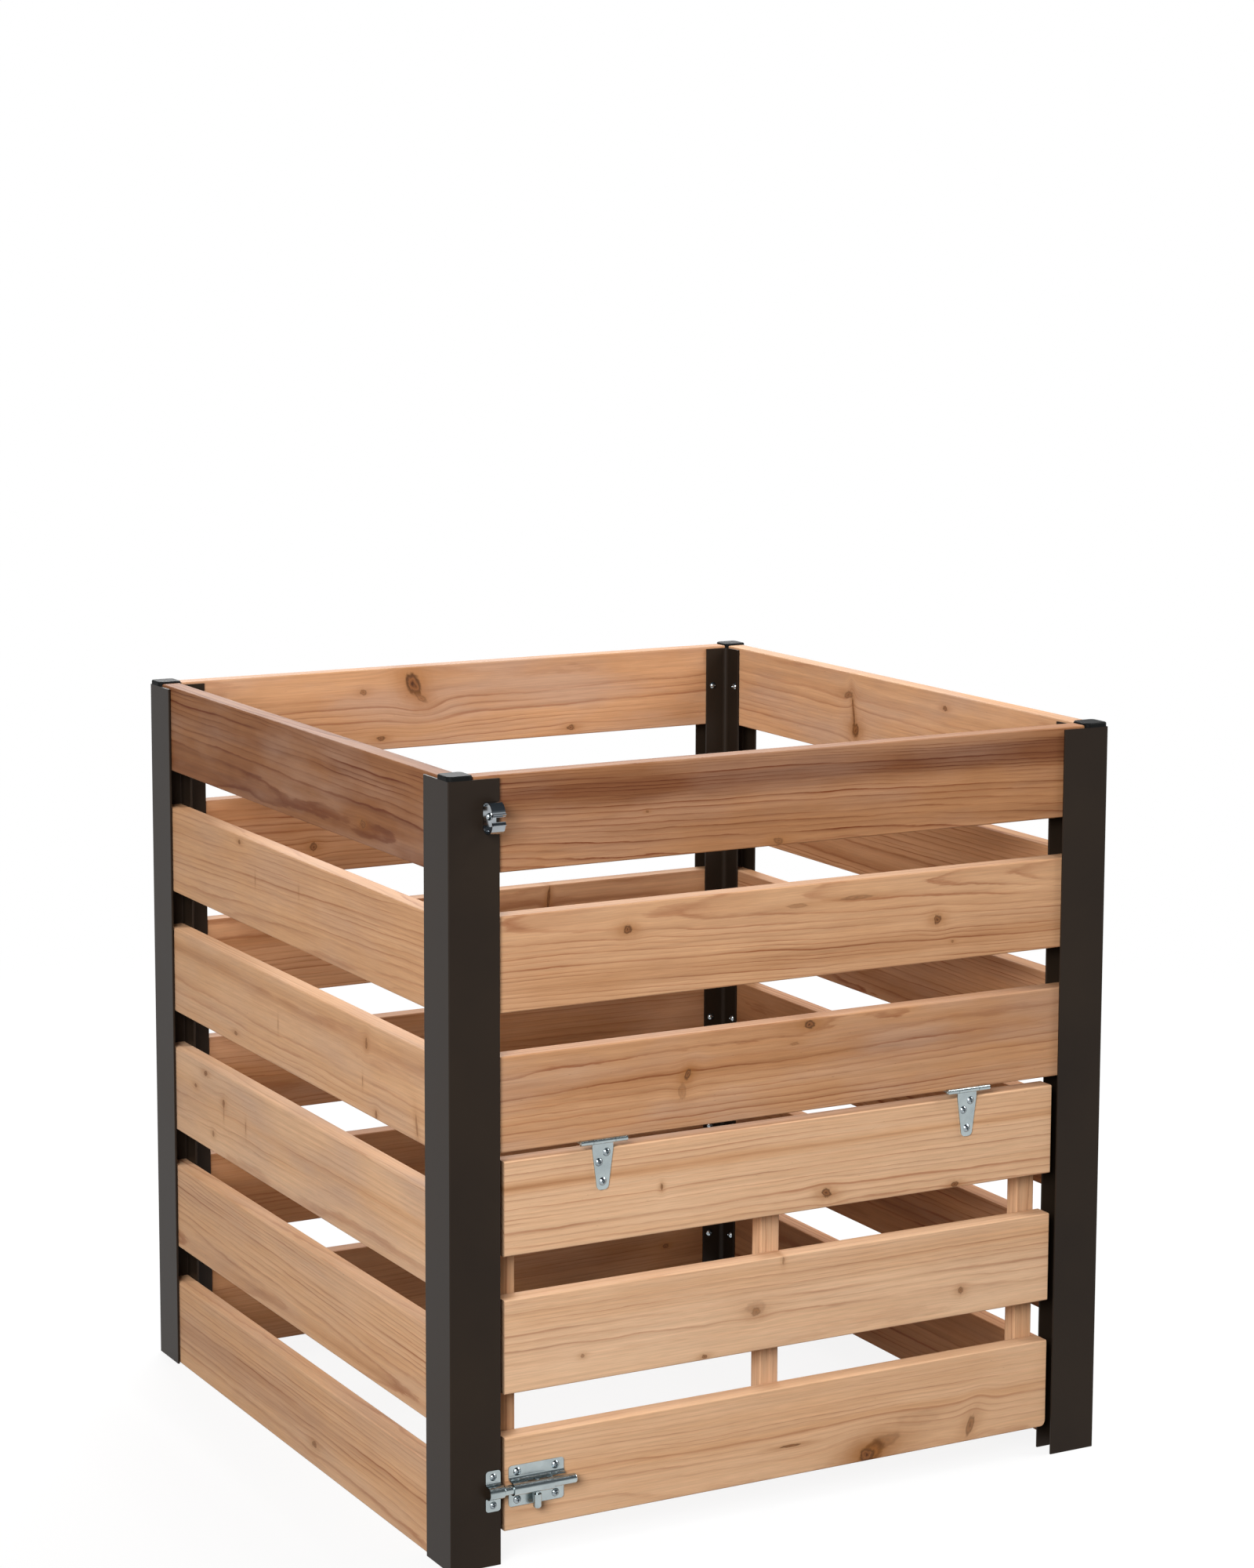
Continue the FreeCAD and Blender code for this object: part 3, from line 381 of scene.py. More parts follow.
def bell(tree, at):
    """exp(-d^2) of a vector's length."""
    squared = add(tree, "ShaderNodeVectorMath", {0: at, 1: at},
                  operation="DOT_PRODUCT").outputs["Value"]
    minus = add(tree, "ShaderNodeMath", {0: squared, 1: -1.0}, operation="MULTIPLY")
    return add(tree, "ShaderNodeMath", {0: minus}, operation="EXPONENT")


print("both knot groups read", [name for name, _ in KNOT_INPUTS])

# %% The rings part round a knot
# One over how many knot sizes the pull reaches along the board and up it, and its strength.
PULL_SHRINK = (0.26, 0.0, 0.38)
PULL = (0.0, 0.0, -0.5)


def make_knot_pull():
    """The group that says how far to move a place before the rings are read: towards the
    knot's height by 0.5 exp(-d^2) of the height above it, with d in about three knot sizes."""
    tree, given = new_group("knot_pull", KNOT_INPUTS, (("pull", "Vector"),))
    wide = add(tree, "ShaderNodeVectorMath", {0: from_knot(tree, given), 1: PULL_SHRINK},
               operation="MULTIPLY")
    off = add(tree, "ShaderNodeVectorMath", {0: given["place"], 1: given["knot"]},
              operation="SUBTRACT")
    towards = add(tree, "ShaderNodeVectorMath", {0: off, 1: PULL}, operation="MULTIPLY")
    pull = add(tree, "ShaderNodeVectorMath", {0: towards, "Scale": bell(tree, wide)},
               operation="SCALE")
    add(tree, "NodeGroupOutput", {"pull": pull})
    return tree


knot_pull_group = make_knot_pull()
print("the knot pull group has", len(knot_pull_group.nodes), "nodes")

# %% [markdown]
# The paint reads the same distance, bent by noise so that no knot is a clean oval. A ramp over
# it goes from the branch's dark heart through its brown wood to the rim.

# %% The knot's paint
CROOKED_PER_SIZE, BARK_PER_SIZE, KNOT_DETAIL = 0.9, 3.0, 3.0
CROOKED = (1.3, 0.0, 1.3)
BARK = 0.36
KNOT_WOOD = ((0.0, "#24140a"), (1.0, "#573720"), (0.25, "#40261a"), (0.42, "#6f4529"),
             (0.66, "#8a5935"), (0.86, "#62402a"))
RIM_INSIDE, RIM_OUTSIDE = 0.92, 1.42
TAN_COLOUR, TAN_AMOUNT = "#96602f", 0.7
TAN_SHRINK = (0.34, 0.0, 0.55)
MIDDLE = (NOISE_MIDDLE, NOISE_MIDDLE, NOISE_MIDDLE)


def make_knot_paint():
    """The group that paints a knot over the wood's colour: a dark heart, brown wood, a darker
    crooked rim, and tan wood beside it that fades out along the grain."""
    tree, given = new_group("knot_paint", KNOT_INPUTS + (("dark", "Float"), ("colour", "Color")),
                            (("colour", "Color"),))
    at = from_knot(tree, given)
    own = add(tree, "ShaderNodeVectorMath", {0: at, 1: given["knot"]}, operation="ADD")
    crooked = add(tree, "ShaderNodeTexNoise",
                  {"Vector": own, "Scale": CROOKED_PER_SIZE, "Detail": KNOT_DETAIL})
    bend = add(tree, "ShaderNodeVectorMath", {0: crooked.outputs["Color"], 1: MIDDLE},
               operation="SUBTRACT")
    bent = add(tree, "ShaderNodeVectorMath", {0: bend, 1: CROOKED, 2: at},
               operation="MULTIPLY_ADD")
    out = add(tree, "ShaderNodeVectorMath", {0: bent}, operation="LENGTH").outputs["Value"]
    bark = add(tree, "ShaderNodeTexNoise",
               {"Vector": own, "Scale": BARK_PER_SIZE, "Detail": KNOT_DETAIL})
    ragged = add(tree, "ShaderNodeMath", {0: bark, 1: BARK, 2: out}, operation="MULTIPLY_ADD")
    core = add(tree, "ShaderNodeValToRGB", {0: ragged}, KNOT_WOOD)
    tail = add(tree, "ShaderNodeVectorMath", {0: bent, 1: TAN_SHRINK}, operation="MULTIPLY")
    tan = add(tree, "ShaderNodeMath", {0: bell(tree, tail), 1: given["dark"]},
              operation="MULTIPLY")
    tan = add(tree, "ShaderNodeMath", {0: tan, 1: TAN_AMOUNT}, operation="MULTIPLY")
    tanned = add(tree, "ShaderNodeMix", {0: tan, 6: given["colour"], 7: colour(TAN_COLOUR)},
                 data_type="RGBA").outputs[2]
    inside = add(tree, "ShaderNodeMapRange",
                 {0: ragged, 1: RIM_INSIDE, 2: RIM_OUTSIDE, 3: 1.0, 4: 0.0},
                 interpolation_type="SMOOTHSTEP")
    amount = add(tree, "ShaderNodeMath", {0: inside, 1: given["dark"]}, operation="MULTIPLY")
    painted = add(tree, "ShaderNodeMix", {0: amount, 6: tanned, 7: core},
                  data_type="RGBA").outputs[2]
    add(tree, "NodeGroupOutput", {"colour": painted})
    return tree


knot_paint_group = make_knot_paint()
print("the knot paint group has", len(knot_paint_group.nodes), "nodes")

# %% [markdown]
# ## One material for each board
#
# The boards came from different trees and different parts of them, so each has its own
# material, made by one function from a few facts: where its pith lay, how wide its rings are,
# how brown its heartwood is, and where its knots are. A Mapping node measures from the middle
# of the board and turns the grain along the first axis.
#
# Planed and oiled cedar is dull, so its shine is kept low: a stronger one lays a pale veil over
# its colours.

# %% An empty material, and a knot's numbers
def new_material(name):
    """A material with an empty tree. Returns both."""
    material = bpy.data.materials.new(name)
    material.use_nodes = True
    material.node_tree.nodes.clear()
    return material, material.node_tree


def knot_sockets(along, up, half_length, half_height, lean):
    """The inputs that both knot groups take, from a knot's numbers."""
    return {"knot": (along, 0.0, up), "size": (half_length, 1.0, half_height), "lean": lean}


print("a knot in the middle, 10 by 6 mm:", knot_sockets(0.0, 0.0, 5.0, 3.0, 0.0))

# %% A board's material
MM = 0.001
GRAIN_TURNS = {
    "x": (0.0, 0.0, 0.0),
    "y": (0.0, 0.0, math.radians(RIGHT_ANGLE)),
    "z": (0.0, math.radians(-RIGHT_ANGLE), 0.0),
}
BRANCH_DARKNESS = 0.5
END_DEPTH_MM = 0.4
WOOD_BUMP, WOOD_BUMP_MM = 0.35, 0.25
WOOD_IOR, WOOD_SHEEN = 1.4, 0.25


def cedar_board(name, grain, seed, knots, **wood):
    """Cedar for the CAD node of this name. grain is the axis its length follows, knots are
    (along, up, half length, half height, darkness, lean) in mm, and wood holds the rest of the
    cedar group's inputs. Only dark knots, which are branches, push the rings apart."""
    low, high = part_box(name)
    material, tree = new_material("cedar_" + name)
    place = add(tree, "ShaderNodeMapping",
                {"Vector": add(tree, "ShaderNodeTexCoord").outputs["Object"],
                 "Location": (low + high) / 2, "Rotation": GRAIN_TURNS[grain],
                 "Scale": (MM, MM, MM)}, vector_type="TEXTURE")
    moved = place
    for *shape, dark, lean in knots:
        if dark >= BRANCH_DARKNESS:
            pull = add(tree, "ShaderNodeGroup", {"place": place, **knot_sockets(*shape, lean)},
                       node_tree=knot_pull_group)
            moved = add(tree, "ShaderNodeVectorMath", {0: moved, 1: pull}, operation="ADD")
    wood["pith"] = (0.0, *wood["pith"])
    board_end = max(high - low) / 2 / MM - END_DEPTH_MM
    cedar = add(tree, "ShaderNodeGroup",
                {"place": moved, "seed": seed, "half_length": board_end, **wood},
                node_tree=cedar_group)
    painted = cedar.outputs["colour"]
    for *shape, dark, lean in knots:
        painted = add(tree, "ShaderNodeGroup",
                      {"place": place, "dark": dark, "colour": painted,
                       **knot_sockets(*shape, lean)}, node_tree=knot_paint_group)
    bump = add(tree, "ShaderNodeBump", {"Height": cedar.outputs["height"],
                                        "Strength": WOOD_BUMP, "Distance": WOOD_BUMP_MM * MM})
    shader = add(tree, "ShaderNodeBsdfPrincipled",
                 {"Base Color": painted, "Roughness": cedar.outputs["roughness"],
                  "Normal": bump, "IOR": WOOD_IOR, "Specular IOR Level": WOOD_SHEEN})
    add(tree, "ShaderNodeOutputMaterial", {"Surface": shader})
    nodes[name].material_slots[0].material = material


print("the last", END_DEPTH_MM, "mm of a board are its sawn end")

# %% [markdown]
# ## What each board is like
#
# The boards that face the camera follow the photograph: dark wood in the top board of the front
# and of the left side, arches where the pith lay close, and the knots where they are. Each
# entry says
#
# - tone, from pale 0 to dark 1, and line, how dark the summer wood is
# - ring, the width of a ring, pith, where the pith lay through and up from the board's middle,
#   taper, how much is added to the distance from the pith for each mm along, and wander, how
#   far the rings stray
# - heart, how much darker a band of heartwood is, its height and its spread
# - film, how grey the patches are
# - knots, each with its place along and up, its half length and half height, how dark it is and
#   how far it leans

# %% The boards of the front
BOARDS = {
    "front_board_1": dict(
        tone=0.72, heart=0.48, heart_height=24.0, heart_spread=14.0, line=1.15, ring=3.4,
        pith=(46.0, -62.0), taper=0.02, wander=6.0, film=0.2,
        knots=[(-15.0, -40.0, 5.0, 3.0, 0.6, 0.0), (-155.0, -1.0, 1.5, 1.2, 0.6, 0.0)]),
    "front_board_2": dict(
        tone=0.38, line=0.8, ring=4.0, pith=(20.0, 34.0), taper=-0.03, wander=9.0, film=0.1,
        knots=[(-175.0, 20.2, 4.2, 4.0, 0.9, 0.0), (164.0, -2.8, 4.0, 4.6, 0.85, 0.0),
               (6.0, 25.0, 11.0, 2.0, 0.4, 0.0), (182.0, -26.0, 1.6, 1.4, 0.5, 0.0),
               (72.0, 27.0, 17.0, 2.2, 0.48, 0.0)]),
    "front_board_3": dict(
        tone=0.52, line=0.8, ring=3.9, pith=(-75.0, 40.0), taper=0.006, wander=5.0, film=0.4,
        knots=[(-111.0, 6.0, 3.0, 5.4, 0.9, 0.3), (-117.0, -10.0, 4.0, 8.0, 0.3, 0.0),
               (21.5, 39.0, 6.0, 4.0, 0.95, 0.0), (5.0, 22.0, 5.0, 1.5, 0.4, 0.0)]),
    "door_board_1": dict(
        tone=0.14, heart=0.5, heart_height=19.0, heart_spread=4.5, line=0.6, ring=4.4,
        pith=(38.0, -68.0), taper=0.003, wander=5.0, film=0.0,
        knots=[(42.0, -30.0, 5.0, 4.6, 0.9, -0.3), (189.0, -41.0, 4.0, 2.5, 0.9, 0.0),
               (-138.0, 0.0, 1.2, 3.0, 0.7, 0.0)]),
    "door_board_2": dict(
        tone=0.08, line=0.5, ring=4.2, pith=(38.0, -34.0), taper=0.008, wander=6.0, film=0.1,
        knots=[(-5.0, 40.0, 1.2, 4.0, 0.45, 0.0), (-35.0, -6.0, 4.5, 4.0, 0.5, 0.0),
               (-35.0, -2.0, 11.0, 7.0, 0.2, 0.0), (-221.0, -20.0, 2.0, 2.0, 0.5, 0.0),
               (198.0, -19.0, 2.6, 3.4, 0.65, 0.0), (-91.0, -41.0, 3.0, 2.0, 0.7, 0.0)]),
    "door_board_3": dict(
        tone=0.18, line=0.46, ring=4.2, pith=(34.0, -44.0), taper=0.008, wander=9.0, film=0.0,
        knots=[(97.0, -37.0, 14.0, 11.0, 1.0, 0.4), (92.0, -38.0, 8.0, 6.5, 1.0, 0.0),
               (114.0, -27.0, 16.0, 7.0, 0.35, 0.6), (212.0, -28.0, 4.0, 10.0, 0.6, 0.3),
               (5.0, -14.4, 10.0, 1.3, 0.8, 0.0), (150.0, -11.0, 24.0, 7.0, 0.12, 0.0)]),
    "door_batten_middle": dict(tone=0.16),
}
print("the front:", len(BOARDS), "entries")

# %% The boards of the left side
LEFT_BOARDS = {
    "left_board_1": dict(
        tone=0.9, line=1.0, ring=4.6, pith=(-28.0, -28.0), taper=-0.012, wander=12.0, film=0.3,
        knots=[(-171.0, -25.0, 5.0, 3.5, 0.7, 0.0), (-66.0, -14.0, 26.0, 2.0, 0.2, 0.2)]),
    "left_board_2": dict(
        tone=0.38, line=0.55, ring=4.6, pith=(-24.0, -46.0), taper=0.028, wander=9.0, film=0.3,
        knots=[(128.0, 38.0, 3.0, 2.0, 0.7, 0.0), (88.0, 6.0, 0.8, 5.0, 0.35, 0.0),
               (-20.0, 12.0, 0.8, 6.0, 0.25, 0.0)]),
    "left_board_3": dict(
        tone=0.28, heart=0.3, heart_height=27.0, heart_spread=7.0, line=0.62, ring=4.0,
        pith=(-80.0, 20.0), taper=0.002, wander=5.0, film=0.3,
        knots=[(-175.0, 24.0, 2.2, 5.0, 0.6, 0.0), (-196.0, -40.0, 2.4, 4.0, 0.6, 0.0),
               (34.0, -1.0, 0.8, 6.0, 0.35, 0.0), (143.0, -33.0, 4.0, 2.0, 0.6, 0.0),
               (-166.0, -14.0, 0.8, 5.0, 0.4, 0.0), (-284.0, -30.0, 2.0, 10.0, 0.45, 0.2)]),
    "left_board_4": dict(
        tone=0.14, line=0.42, ring=4.8, pith=(-60.0, -50.0), taper=0.006, wander=8.0, film=0.5,
        knots=[(226.0, 35.0, 4.5, 2.5, 0.7, 0.0), (178.0, 14.0, 3.0, 4.0, 0.6, 0.0),
               (178.0, 4.0, 1.0, 7.0, 0.3, 0.0), (207.0, -25.0, 2.5, 3.0, 0.5, 0.0),
               (254.0, 16.0, 3.0, 2.0, 0.6, 0.0), (120.0, 2.0, 1.0, 6.0, 0.4, 0.0)]),
    "left_board_5": dict(
        tone=0.27, line=0.7, ring=4.0, pith=(-24.0, -32.0), taper=-0.02, wander=4.0, film=0.3,
        knots=[]),
    "left_board_6": dict(
        tone=0.28, line=0.66, ring=4.4, pith=(-30.0, -44.0), taper=-0.006, wander=6.0, film=0.3,
        knots=[(-46.0, -21.7, 5.0, 3.4, 0.6, 0.0)]),
}
BOARDS.update(LEFT_BOARDS)
print("the left side:", len(LEFT_BOARDS), "entries")

# %% [markdown]
# Of the rear and the right side the camera sees the inner faces. The top boards show the most
# of theirs, so they have their knots. Lower down, the inside of the real bin gets darker by
# more than these lights make it, so the boards there are given darker tones, which paint that
# shade into their colour: painted shade.

# %% The boards of the rear and the right side
FAR_BOARDS = {
    "rear_board_1": dict(
        tone=0.5, line=0.55, ring=4.4, pith=(40.0, 30.0), taper=0.008, wander=8.0, film=0.5,
        knots=[(-62.1, 26.0, 8.0, 14.0, 0.95, -0.3), (-52.0, 9.0, 5.0, 5.0, 0.5, -0.8),
               (-101.0, -32.0, 5.0, 2.5, 0.75, 0.0), (-122.0, 20.0, 4.0, 3.0, 0.6, 0.0),
               (133.0, -36.0, 4.5, 3.0, 0.75, 0.0)]),
    # Below the top row the tones are set darker, as painted shade of the bin's inside.
    "rear_board_2": dict(tone=0.6, line=0.9, wander=10.0),
    "rear_board_3": dict(tone=0.45, knots=[(105.0, 30.0, 1.8, 13.0, 0.85, 0.1)]),
    "rear_board_4": dict(tone=0.6),
    "rear_board_5": dict(tone=0.68),
    "rear_board_6": dict(tone=0.6),
    "right_board_1": dict(
        tone=0.34, line=0.5, ring=4.6, pith=(45.0, 30.0), taper=0.01, wander=8.0, film=0.5,
        knots=[(62.0, -16.0, 6.0, 8.0, 1.0, 0.0), (66.0, 2.0, 1.8, 15.0, 0.8, 0.15),
               (76.0, 20.0, 8.0, 4.0, 0.6, -0.6), (-109.0, 29.0, 4.0, 2.6, 0.7, 0.0)]),
    # Below the top row the tones are set darker, as painted shade of the bin's inside.
    "right_board_2": dict(tone=0.5, line=0.8),
    "right_board_3": dict(tone=0.54, line=0.8),
    "right_board_4": dict(tone=0.64, line=0.8),
    "right_board_5": dict(tone=0.7, line=0.8),
    "right_board_6": dict(tone=0.66, line=0.8),
}
BOARDS.update(FAR_BOARDS)
print("the rear and the right side:", len(FAR_BOARDS), "entries")

# %% [markdown]
# What an entry leaves open is drawn from a seeded random generator, so that it is the same on
# each run. Numbers are drawn for every board, also where its entry then replaces them, so a
# changed entry never changes the other boards.

# %% Every board gets its cedar
GRAIN_AXES = {"front": "x", "rear": "x", "door": "x", "left": "y", "right": "y"}
MOST_RANDOM_KNOTS = 2
SEED_REACH = 9000.0
RANDOM_SEED = 24
rng = np.random.default_rng(RANDOM_SEED)


def draw(low, high):
    """A random number between low and high."""
    return float(rng.uniform(low, high))


def either_side(low, high):
    """A random number between low and high, above or below 0."""
    return draw(low, high) * int(rng.choice((-1, 1)))


def draw_board():
    """A board's numbers but for its knots."""
    return {
        "pith": (either_side(25.0, 70.0), either_side(20.0, 60.0)),
        "ring": draw(3.6, 5.2), "taper": draw(-0.02, 0.02), "wander": draw(3.0, 10.0),
        "line": draw(0.35, 0.65), "tone": draw(0.2, 0.48), "heart": draw(0.0, 0.3),
        "heart_height": draw(-35.0, 35.0), "heart_spread": draw(6.0, 25.0),
        "film": draw(0.0, 0.3),
    }


def draw_knot():
    """A knot somewhere on a board, upright."""
    return (draw(-290.0, 290.0), draw(-38.0, 38.0), draw(2.0, 7.0), draw(2.0, 6.0),
            draw(0.4, 0.9), 0.0)


board_names = sorted(n for n in nodes if "_board_" in n or "_batten_" in n)
for name in board_names:
    batten = "_batten_" in name
    drawn = draw_board()
    n_knots = 0 if batten else rng.integers(0, MOST_RANDOM_KNOTS + 1)
    drawn["knots"] = [draw_knot() for _ in range(n_knots)]
    seed = tuple(float(s) for s in rng.uniform(0.0, SEED_REACH, 3))
    grain = "z" if batten else GRAIN_AXES[name.split("_")[0]]
    cedar_board(name, grain, seed, **{**drawn, **BOARDS.get(name, {})})
print(len(board_names), "boards and battens, each with its own cedar")

# %% [markdown]
# ## Powder-coated posts
#
# The posts are aluminium extrusions in a dark bronze polyester powder coat: dry powder, baked
# until it flows. It is not quite flat, and that faint orange peel, about a millimetre and a
# half across, is what makes its highlights soft. Its colour and gloss also drift slowly, over
# about a hundred millimetres.

# %% The powder coat
PEEL_MM, PEEL_BUMP, PEEL_DEPTH_MM = 1.5, 0.25, 0.05
CLOUDS_PER_METRE = 9.0
COAT_COLOURS = ((0.3, "#231b15"), (0.7, "#2a2119"))
COAT_SMOOTH, COAT_ROUGH, COAT_SHEEN = 0.36, 0.46, 0.13


def put_on(material, names):
    """Gives these CAD nodes a material."""
    for name in names:
        nodes[name].material_slots[0].material = material
    print(material.name, "on", len(names), "nodes")


powder_coat, tree = new_material("polyester_powder_coat")
place = add(tree, "ShaderNodeTexCoord").outputs["Object"]
peel = add(tree, "ShaderNodeTexNoise",
           {"Vector": place, "Scale": 1 / (PEEL_MM * MM), "Detail": 2.0})
cloud = add(tree, "ShaderNodeTexNoise",
            {"Vector": place, "Scale": CLOUDS_PER_METRE, "Detail": 3.0})
bump = add(tree, "ShaderNodeBump",
           {"Height": peel, "Strength": PEEL_BUMP, "Distance": PEEL_DEPTH_MM * MM})
shader = add(tree, "ShaderNodeBsdfPrincipled", {
    "Base Color": add(tree, "ShaderNodeValToRGB", {0: cloud}, COAT_COLOURS),
    "Roughness": add(tree, "ShaderNodeMapRange", {0: cloud, 3: COAT_SMOOTH, 4: COAT_ROUGH}),
    "Normal": bump, "Specular IOR Level": COAT_SHEEN})
add(tree, "ShaderNodeOutputMaterial", {"Surface": shader})
put_on(powder_coat, [n for n in nodes if n.startswith("post_") and n != "post_screws"])

# %% [markdown]
# ## Moulded caps
#
# The post caps are injection-moulded black polypropylene. The mould was lightly sparked, which
# leaves a very fine grain and a satin shine.

# %% The caps
SPARK_MM, SPARK_BUMP, SPARK_DEPTH_MM = 0.6, 0.3, 0.03
CAP_COLOURS = ((0.3, "#0d0e0e"), (0.7, "#151616"))
CAP_SMOOTH, CAP_ROUGH, CAP_SHEEN = 0.52, 0.64, 0.08

cap_plastic, tree = new_material("moulded_polypropylene")
place = add(tree, "ShaderNodeTexCoord").outputs["Object"]
spark = add(tree, "ShaderNodeTexNoise",
            {"Vector": place, "Scale": 1 / (SPARK_MM * MM), "Detail": 2.0})
bump = add(tree, "ShaderNodeBump",
           {"Height": spark, "Strength": SPARK_BUMP, "Distance": SPARK_DEPTH_MM * MM})
shader = add(tree, "ShaderNodeBsdfPrincipled", {
    "Base Color": add(tree, "ShaderNodeValToRGB", {0: spark}, CAP_COLOURS),
    "Roughness": add(tree, "ShaderNodeMapRange", {0: spark, 3: CAP_SMOOTH, 4: CAP_ROUGH}),
    "Normal": bump, "Specular IOR Level": CAP_SHEEN})
add(tree, "ShaderNodeOutputMaterial", {"Surface": shader})
put_on(cap_plastic, [n for n in nodes if n.startswith("cap_")])

# %% [markdown]
# ## Plated steel
#
# The hinges, the bolt and the screws are steel with a bright zinc plating: a pale blue-grey
# metal that mirrors softly, because the rolled sheet under it isn't polished. The spring clip
# is nickel-plated and sharper. One function makes all of them.

# %% The plated finishes
DRIFTS_PER_METRE = 60.0
DULL_PLACE, PALE_PLACE = 0.3, 0.7
WAVE_BUMP = 0.5
SCREW_ENDINGS = ("_screws", "_screw")


def plated(name, pale, dull, smooth, rough, wave, depth):
    """A metal that drifts between a pale, smooth tone and a dull, rough one over about 17 mm,
    and whose surface undulates over `wave` mm by `depth` mm."""
    material, tree = new_material(name)
    place = add(tree, "ShaderNodeTexCoord").outputs["Object"]
    drift = add(tree, "ShaderNodeTexNoise",
                {"Vector": place, "Scale": DRIFTS_PER_METRE, "Detail": 3.0})
    tone = add(tree, "ShaderNodeValToRGB", {0: drift}, ((DULL_PLACE, dull), (PALE_PLACE, pale)))
    roughness = add(tree, "ShaderNodeMapRange",
                    {0: drift, 1: DULL_PLACE, 2: PALE_PLACE, 3: rough, 4: smooth})
    waves = add(tree, "ShaderNodeTexNoise",
                {"Vector": place, "Scale": 1 / (wave * MM), "Detail": 3.0})
    bump = add(tree, "ShaderNodeBump",
               {"Height": waves, "Strength": WAVE_BUMP, "Distance": depth * MM})
    shader = add(tree, "ShaderNodeBsdfPrincipled",
                 {"Base Color": tone, "Roughness": roughness, "Normal": bump, "Metallic": 1.0})
    add(tree, "ShaderNodeOutputMaterial", {"Surface": shader})
    return material


zinc = plated("zinc_plated_sheet", pale="#b2bcbd", dull="#a1abad",
              smooth=0.2, rough=0.28, wave=8.0, depth=0.012)
screw_zinc = plated("zinc_plated_screws", pale="#a4acb0", dull="#8d969b",
                    smooth=0.16, rough=0.24, wave=3.0, depth=0.01)
nickel = plated("nickel_plated_spring", pale="#a9aeb2", dull="#92989d",
                smooth=0.1, rough=0.16, wave=6.0, depth=0.01)
screws = [n for n in nodes if n.endswith(SCREW_ENDINGS)]
sheet_parts = [n for n in nodes if n.startswith(("hinge_", "bolt_")) and n not in screws]
put_on(zinc, sheet_parts)
put_on(screw_zinc, screws)
put_on(nickel, ["hold_open_clip"])

# %% [markdown]
# ## The studio
#
# The bin stands on a pale floor. A large soft light stands at the front left, low enough that
# the front and left boards keep it from the lower half of the inside, with weaker ones at the
# right and behind for the far sides. The world adds a dome of light from above. So the outside
# is lit evenly and the inside gets darker towards the ground, as it does outdoors. Near the
# bin, the floor mixes its lit colour with plain white, so it keeps a soft shadow, and further
# out it turns to the white of the background. A floor that white would also light the bin from
# below, inside and out, so the light that bounces from it to the bin is that of a darker,
# warm grey one.

# %% The floor
FLOOR_HALF = 15.0
FLOOR_ROUGHNESS = 0.9
FLOOR_BOUNCE, FLOOR_SEEN = "#544a40", "#f2f2f2"
# How much of the seen floor is plain white near the bin, and over which distances in metres
# that becomes all of it.
WHITE_NEAR, WHITE_FROM, WHITE_TO = 0.87, 0.8, 2.4
WHITE = (1.0, 1.0, 1.0, 1.0)


def make_floor():
    """A square of floor at height 0, white but for the shadow on it."""
    low, high = -FLOOR_HALF, FLOOR_HALF
    mesh = bpy.data.meshes.new("floor")
    mesh.from_pydata([(low, low, 0), (high, low, 0), (high, high, 0), (low, high, 0)],
                     [], [(0, 1, 2, 3)])
    floor = bpy.data.objects.new("floor", mesh)
    bpy.context.scene.collection.objects.link(floor)
    material, tree = new_material("painted_floor")
    place = add(tree, "ShaderNodeTexCoord").outputs["Object"]
    away = add(tree, "ShaderNodeVectorMath", {0: place}, operation="LENGTH").outputs["Value"]
    share = add(tree, "ShaderNodeMapRange",
                {0: away, 1: WHITE_FROM, 2: WHITE_TO, 3: WHITE_NEAR, 4: 1.0},
                interpolation_type="SMOOTHSTEP")
    path = add(tree, "ShaderNodeLightPath").outputs
    mirrored = add(tree, "ShaderNodeMath",
                   {0: path["Is Camera Ray"], 1: path["Is Glossy Ray"]}, operation="MAXIMUM")
    seen = add(tree, "ShaderNodeMath", {0: mirrored, 1: path["Is Transmission Ray"]},
               operation="MAXIMUM")
    paint = add(tree, "ShaderNodeMix",
                {0: seen, 6: colour(FLOOR_BOUNCE), 7: colour(FLOOR_SEEN)},
                data_type="RGBA").outputs[2]
    lit = add(tree, "ShaderNodeBsdfPrincipled",
              {"Base Color": paint, "Roughness": FLOOR_ROUGHNESS})
    glow = add(tree, "ShaderNodeEmission", {"Color": WHITE, "Strength": 1.0})
    amount = add(tree, "ShaderNodeMath", {0: share, 1: seen}, operation="MULTIPLY")
    mixed = add(tree, "ShaderNodeMixShader", {0: amount, 1: lit, 2: glow})
    add(tree, "ShaderNodeOutputMaterial", {"Surface": mixed})
    mesh.materials.append(material)


make_floor()
print("a floor of", 2 * FLOOR_HALF, "m square")

# %% The lights
AIM = Vector((0.0, 0.0, 0.35))


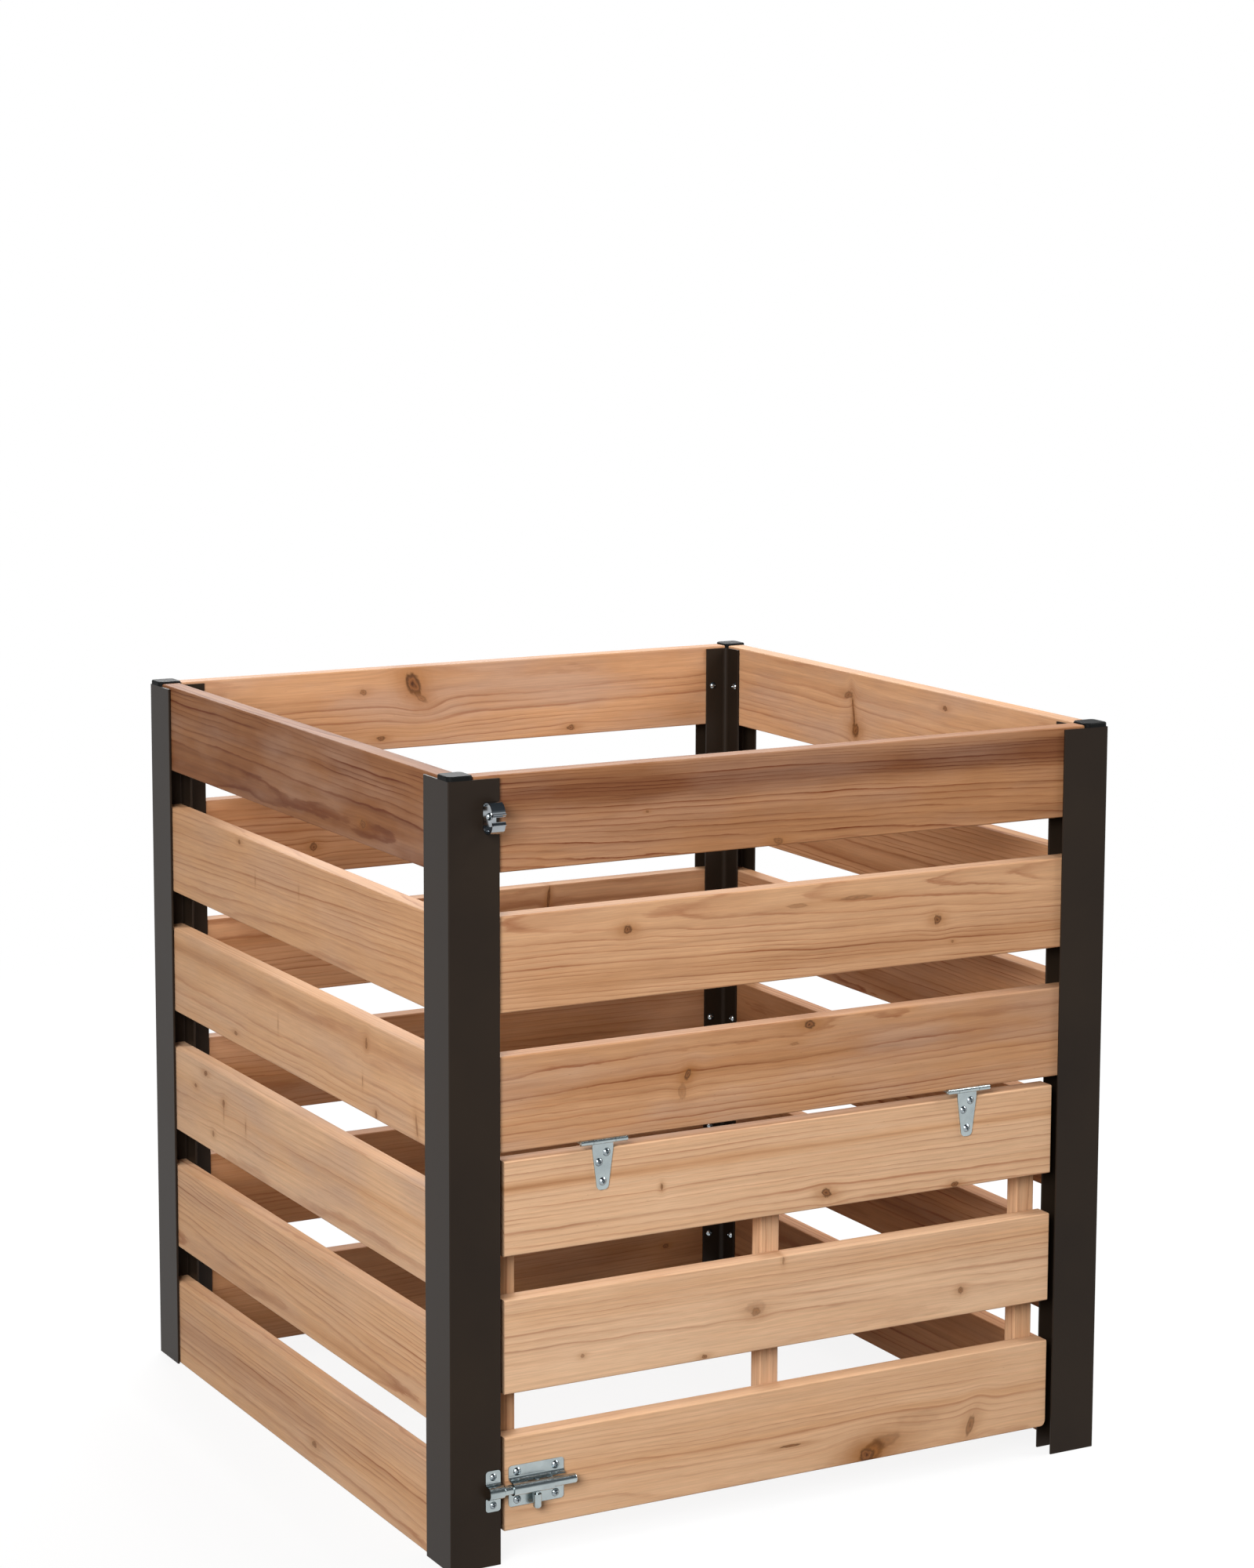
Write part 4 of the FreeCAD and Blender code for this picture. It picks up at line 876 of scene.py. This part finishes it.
def soft_light(name, place, size, watts):
    """A square area light that faces the middle of the bin."""
    data = bpy.data.lights.new(name, "AREA")
    data.size = size
    data.energy = watts
    light = bpy.data.objects.new(name, data)
    bpy.context.scene.collection.objects.link(light)
    light.location = place
    light.rotation_euler = (AIM - Vector(place)).to_track_quat("-Z", "Y").to_euler()
    print(name, "of", watts, "W")


soft_light("front_left_light", (-3.05, -2.95, 2.1), size=2.0, watts=217.0)
soft_light("right_light", (2.7, -0.8, 2.5), size=1.8, watts=112.0)
soft_light("back_light", (0.9, 2.8, 2.5), size=1.8, watts=118.0)

# %% [markdown]
# The world is three things at once. The camera sees white. Diffuse surfaces get a dome of light,
# strong overhead and weak at the horizon. Shiny surfaces see a studio: white walls near the
# horizon that darken to a dim ceiling, which is what gives the plated parts their dark upper
# halves.

# %% The world
WALLS = ((0.0, "#ffffff"), (1.0, "#3c4146"), (0.07, "#f4f4f4"), (0.22, "#7b8083"),
         (0.5, "#4a5055"))
DOME = ((0.0, "#202020"), (1.0, "#a6a6a6"))

world = bpy.data.worlds.new("studio")
world.use_nodes = True
bpy.context.scene.world = world
tree = world.node_tree
tree.nodes.clear()
direction = add(tree, "ShaderNodeTexCoord").outputs["Generated"]
height = add(tree, "ShaderNodeSeparateXYZ", {0: direction}).outputs["Z"]
walls = add(tree, "ShaderNodeValToRGB", {0: height}, WALLS)
dome = add(tree, "ShaderNodeValToRGB", {0: height}, DOME)
path = add(tree, "ShaderNodeLightPath").outputs
ambient = add(tree, "ShaderNodeMix", {0: path["Is Glossy Ray"], 6: dome, 7: walls},
              data_type="RGBA").outputs[2]
looked_at = add(tree, "ShaderNodeMath",
                {0: path["Is Camera Ray"], 1: path["Is Transmission Ray"]}, operation="MAXIMUM")
seen = add(tree, "ShaderNodeMix", {0: looked_at, 6: ambient, 7: WHITE},
           data_type="RGBA").outputs[2]
background = add(tree, "ShaderNodeBackground", {"Color": seen, "Strength": 1.0})
add(tree, "ShaderNodeOutputWorld", {"Surface": background})
print("a world of", len(tree.nodes), "nodes")
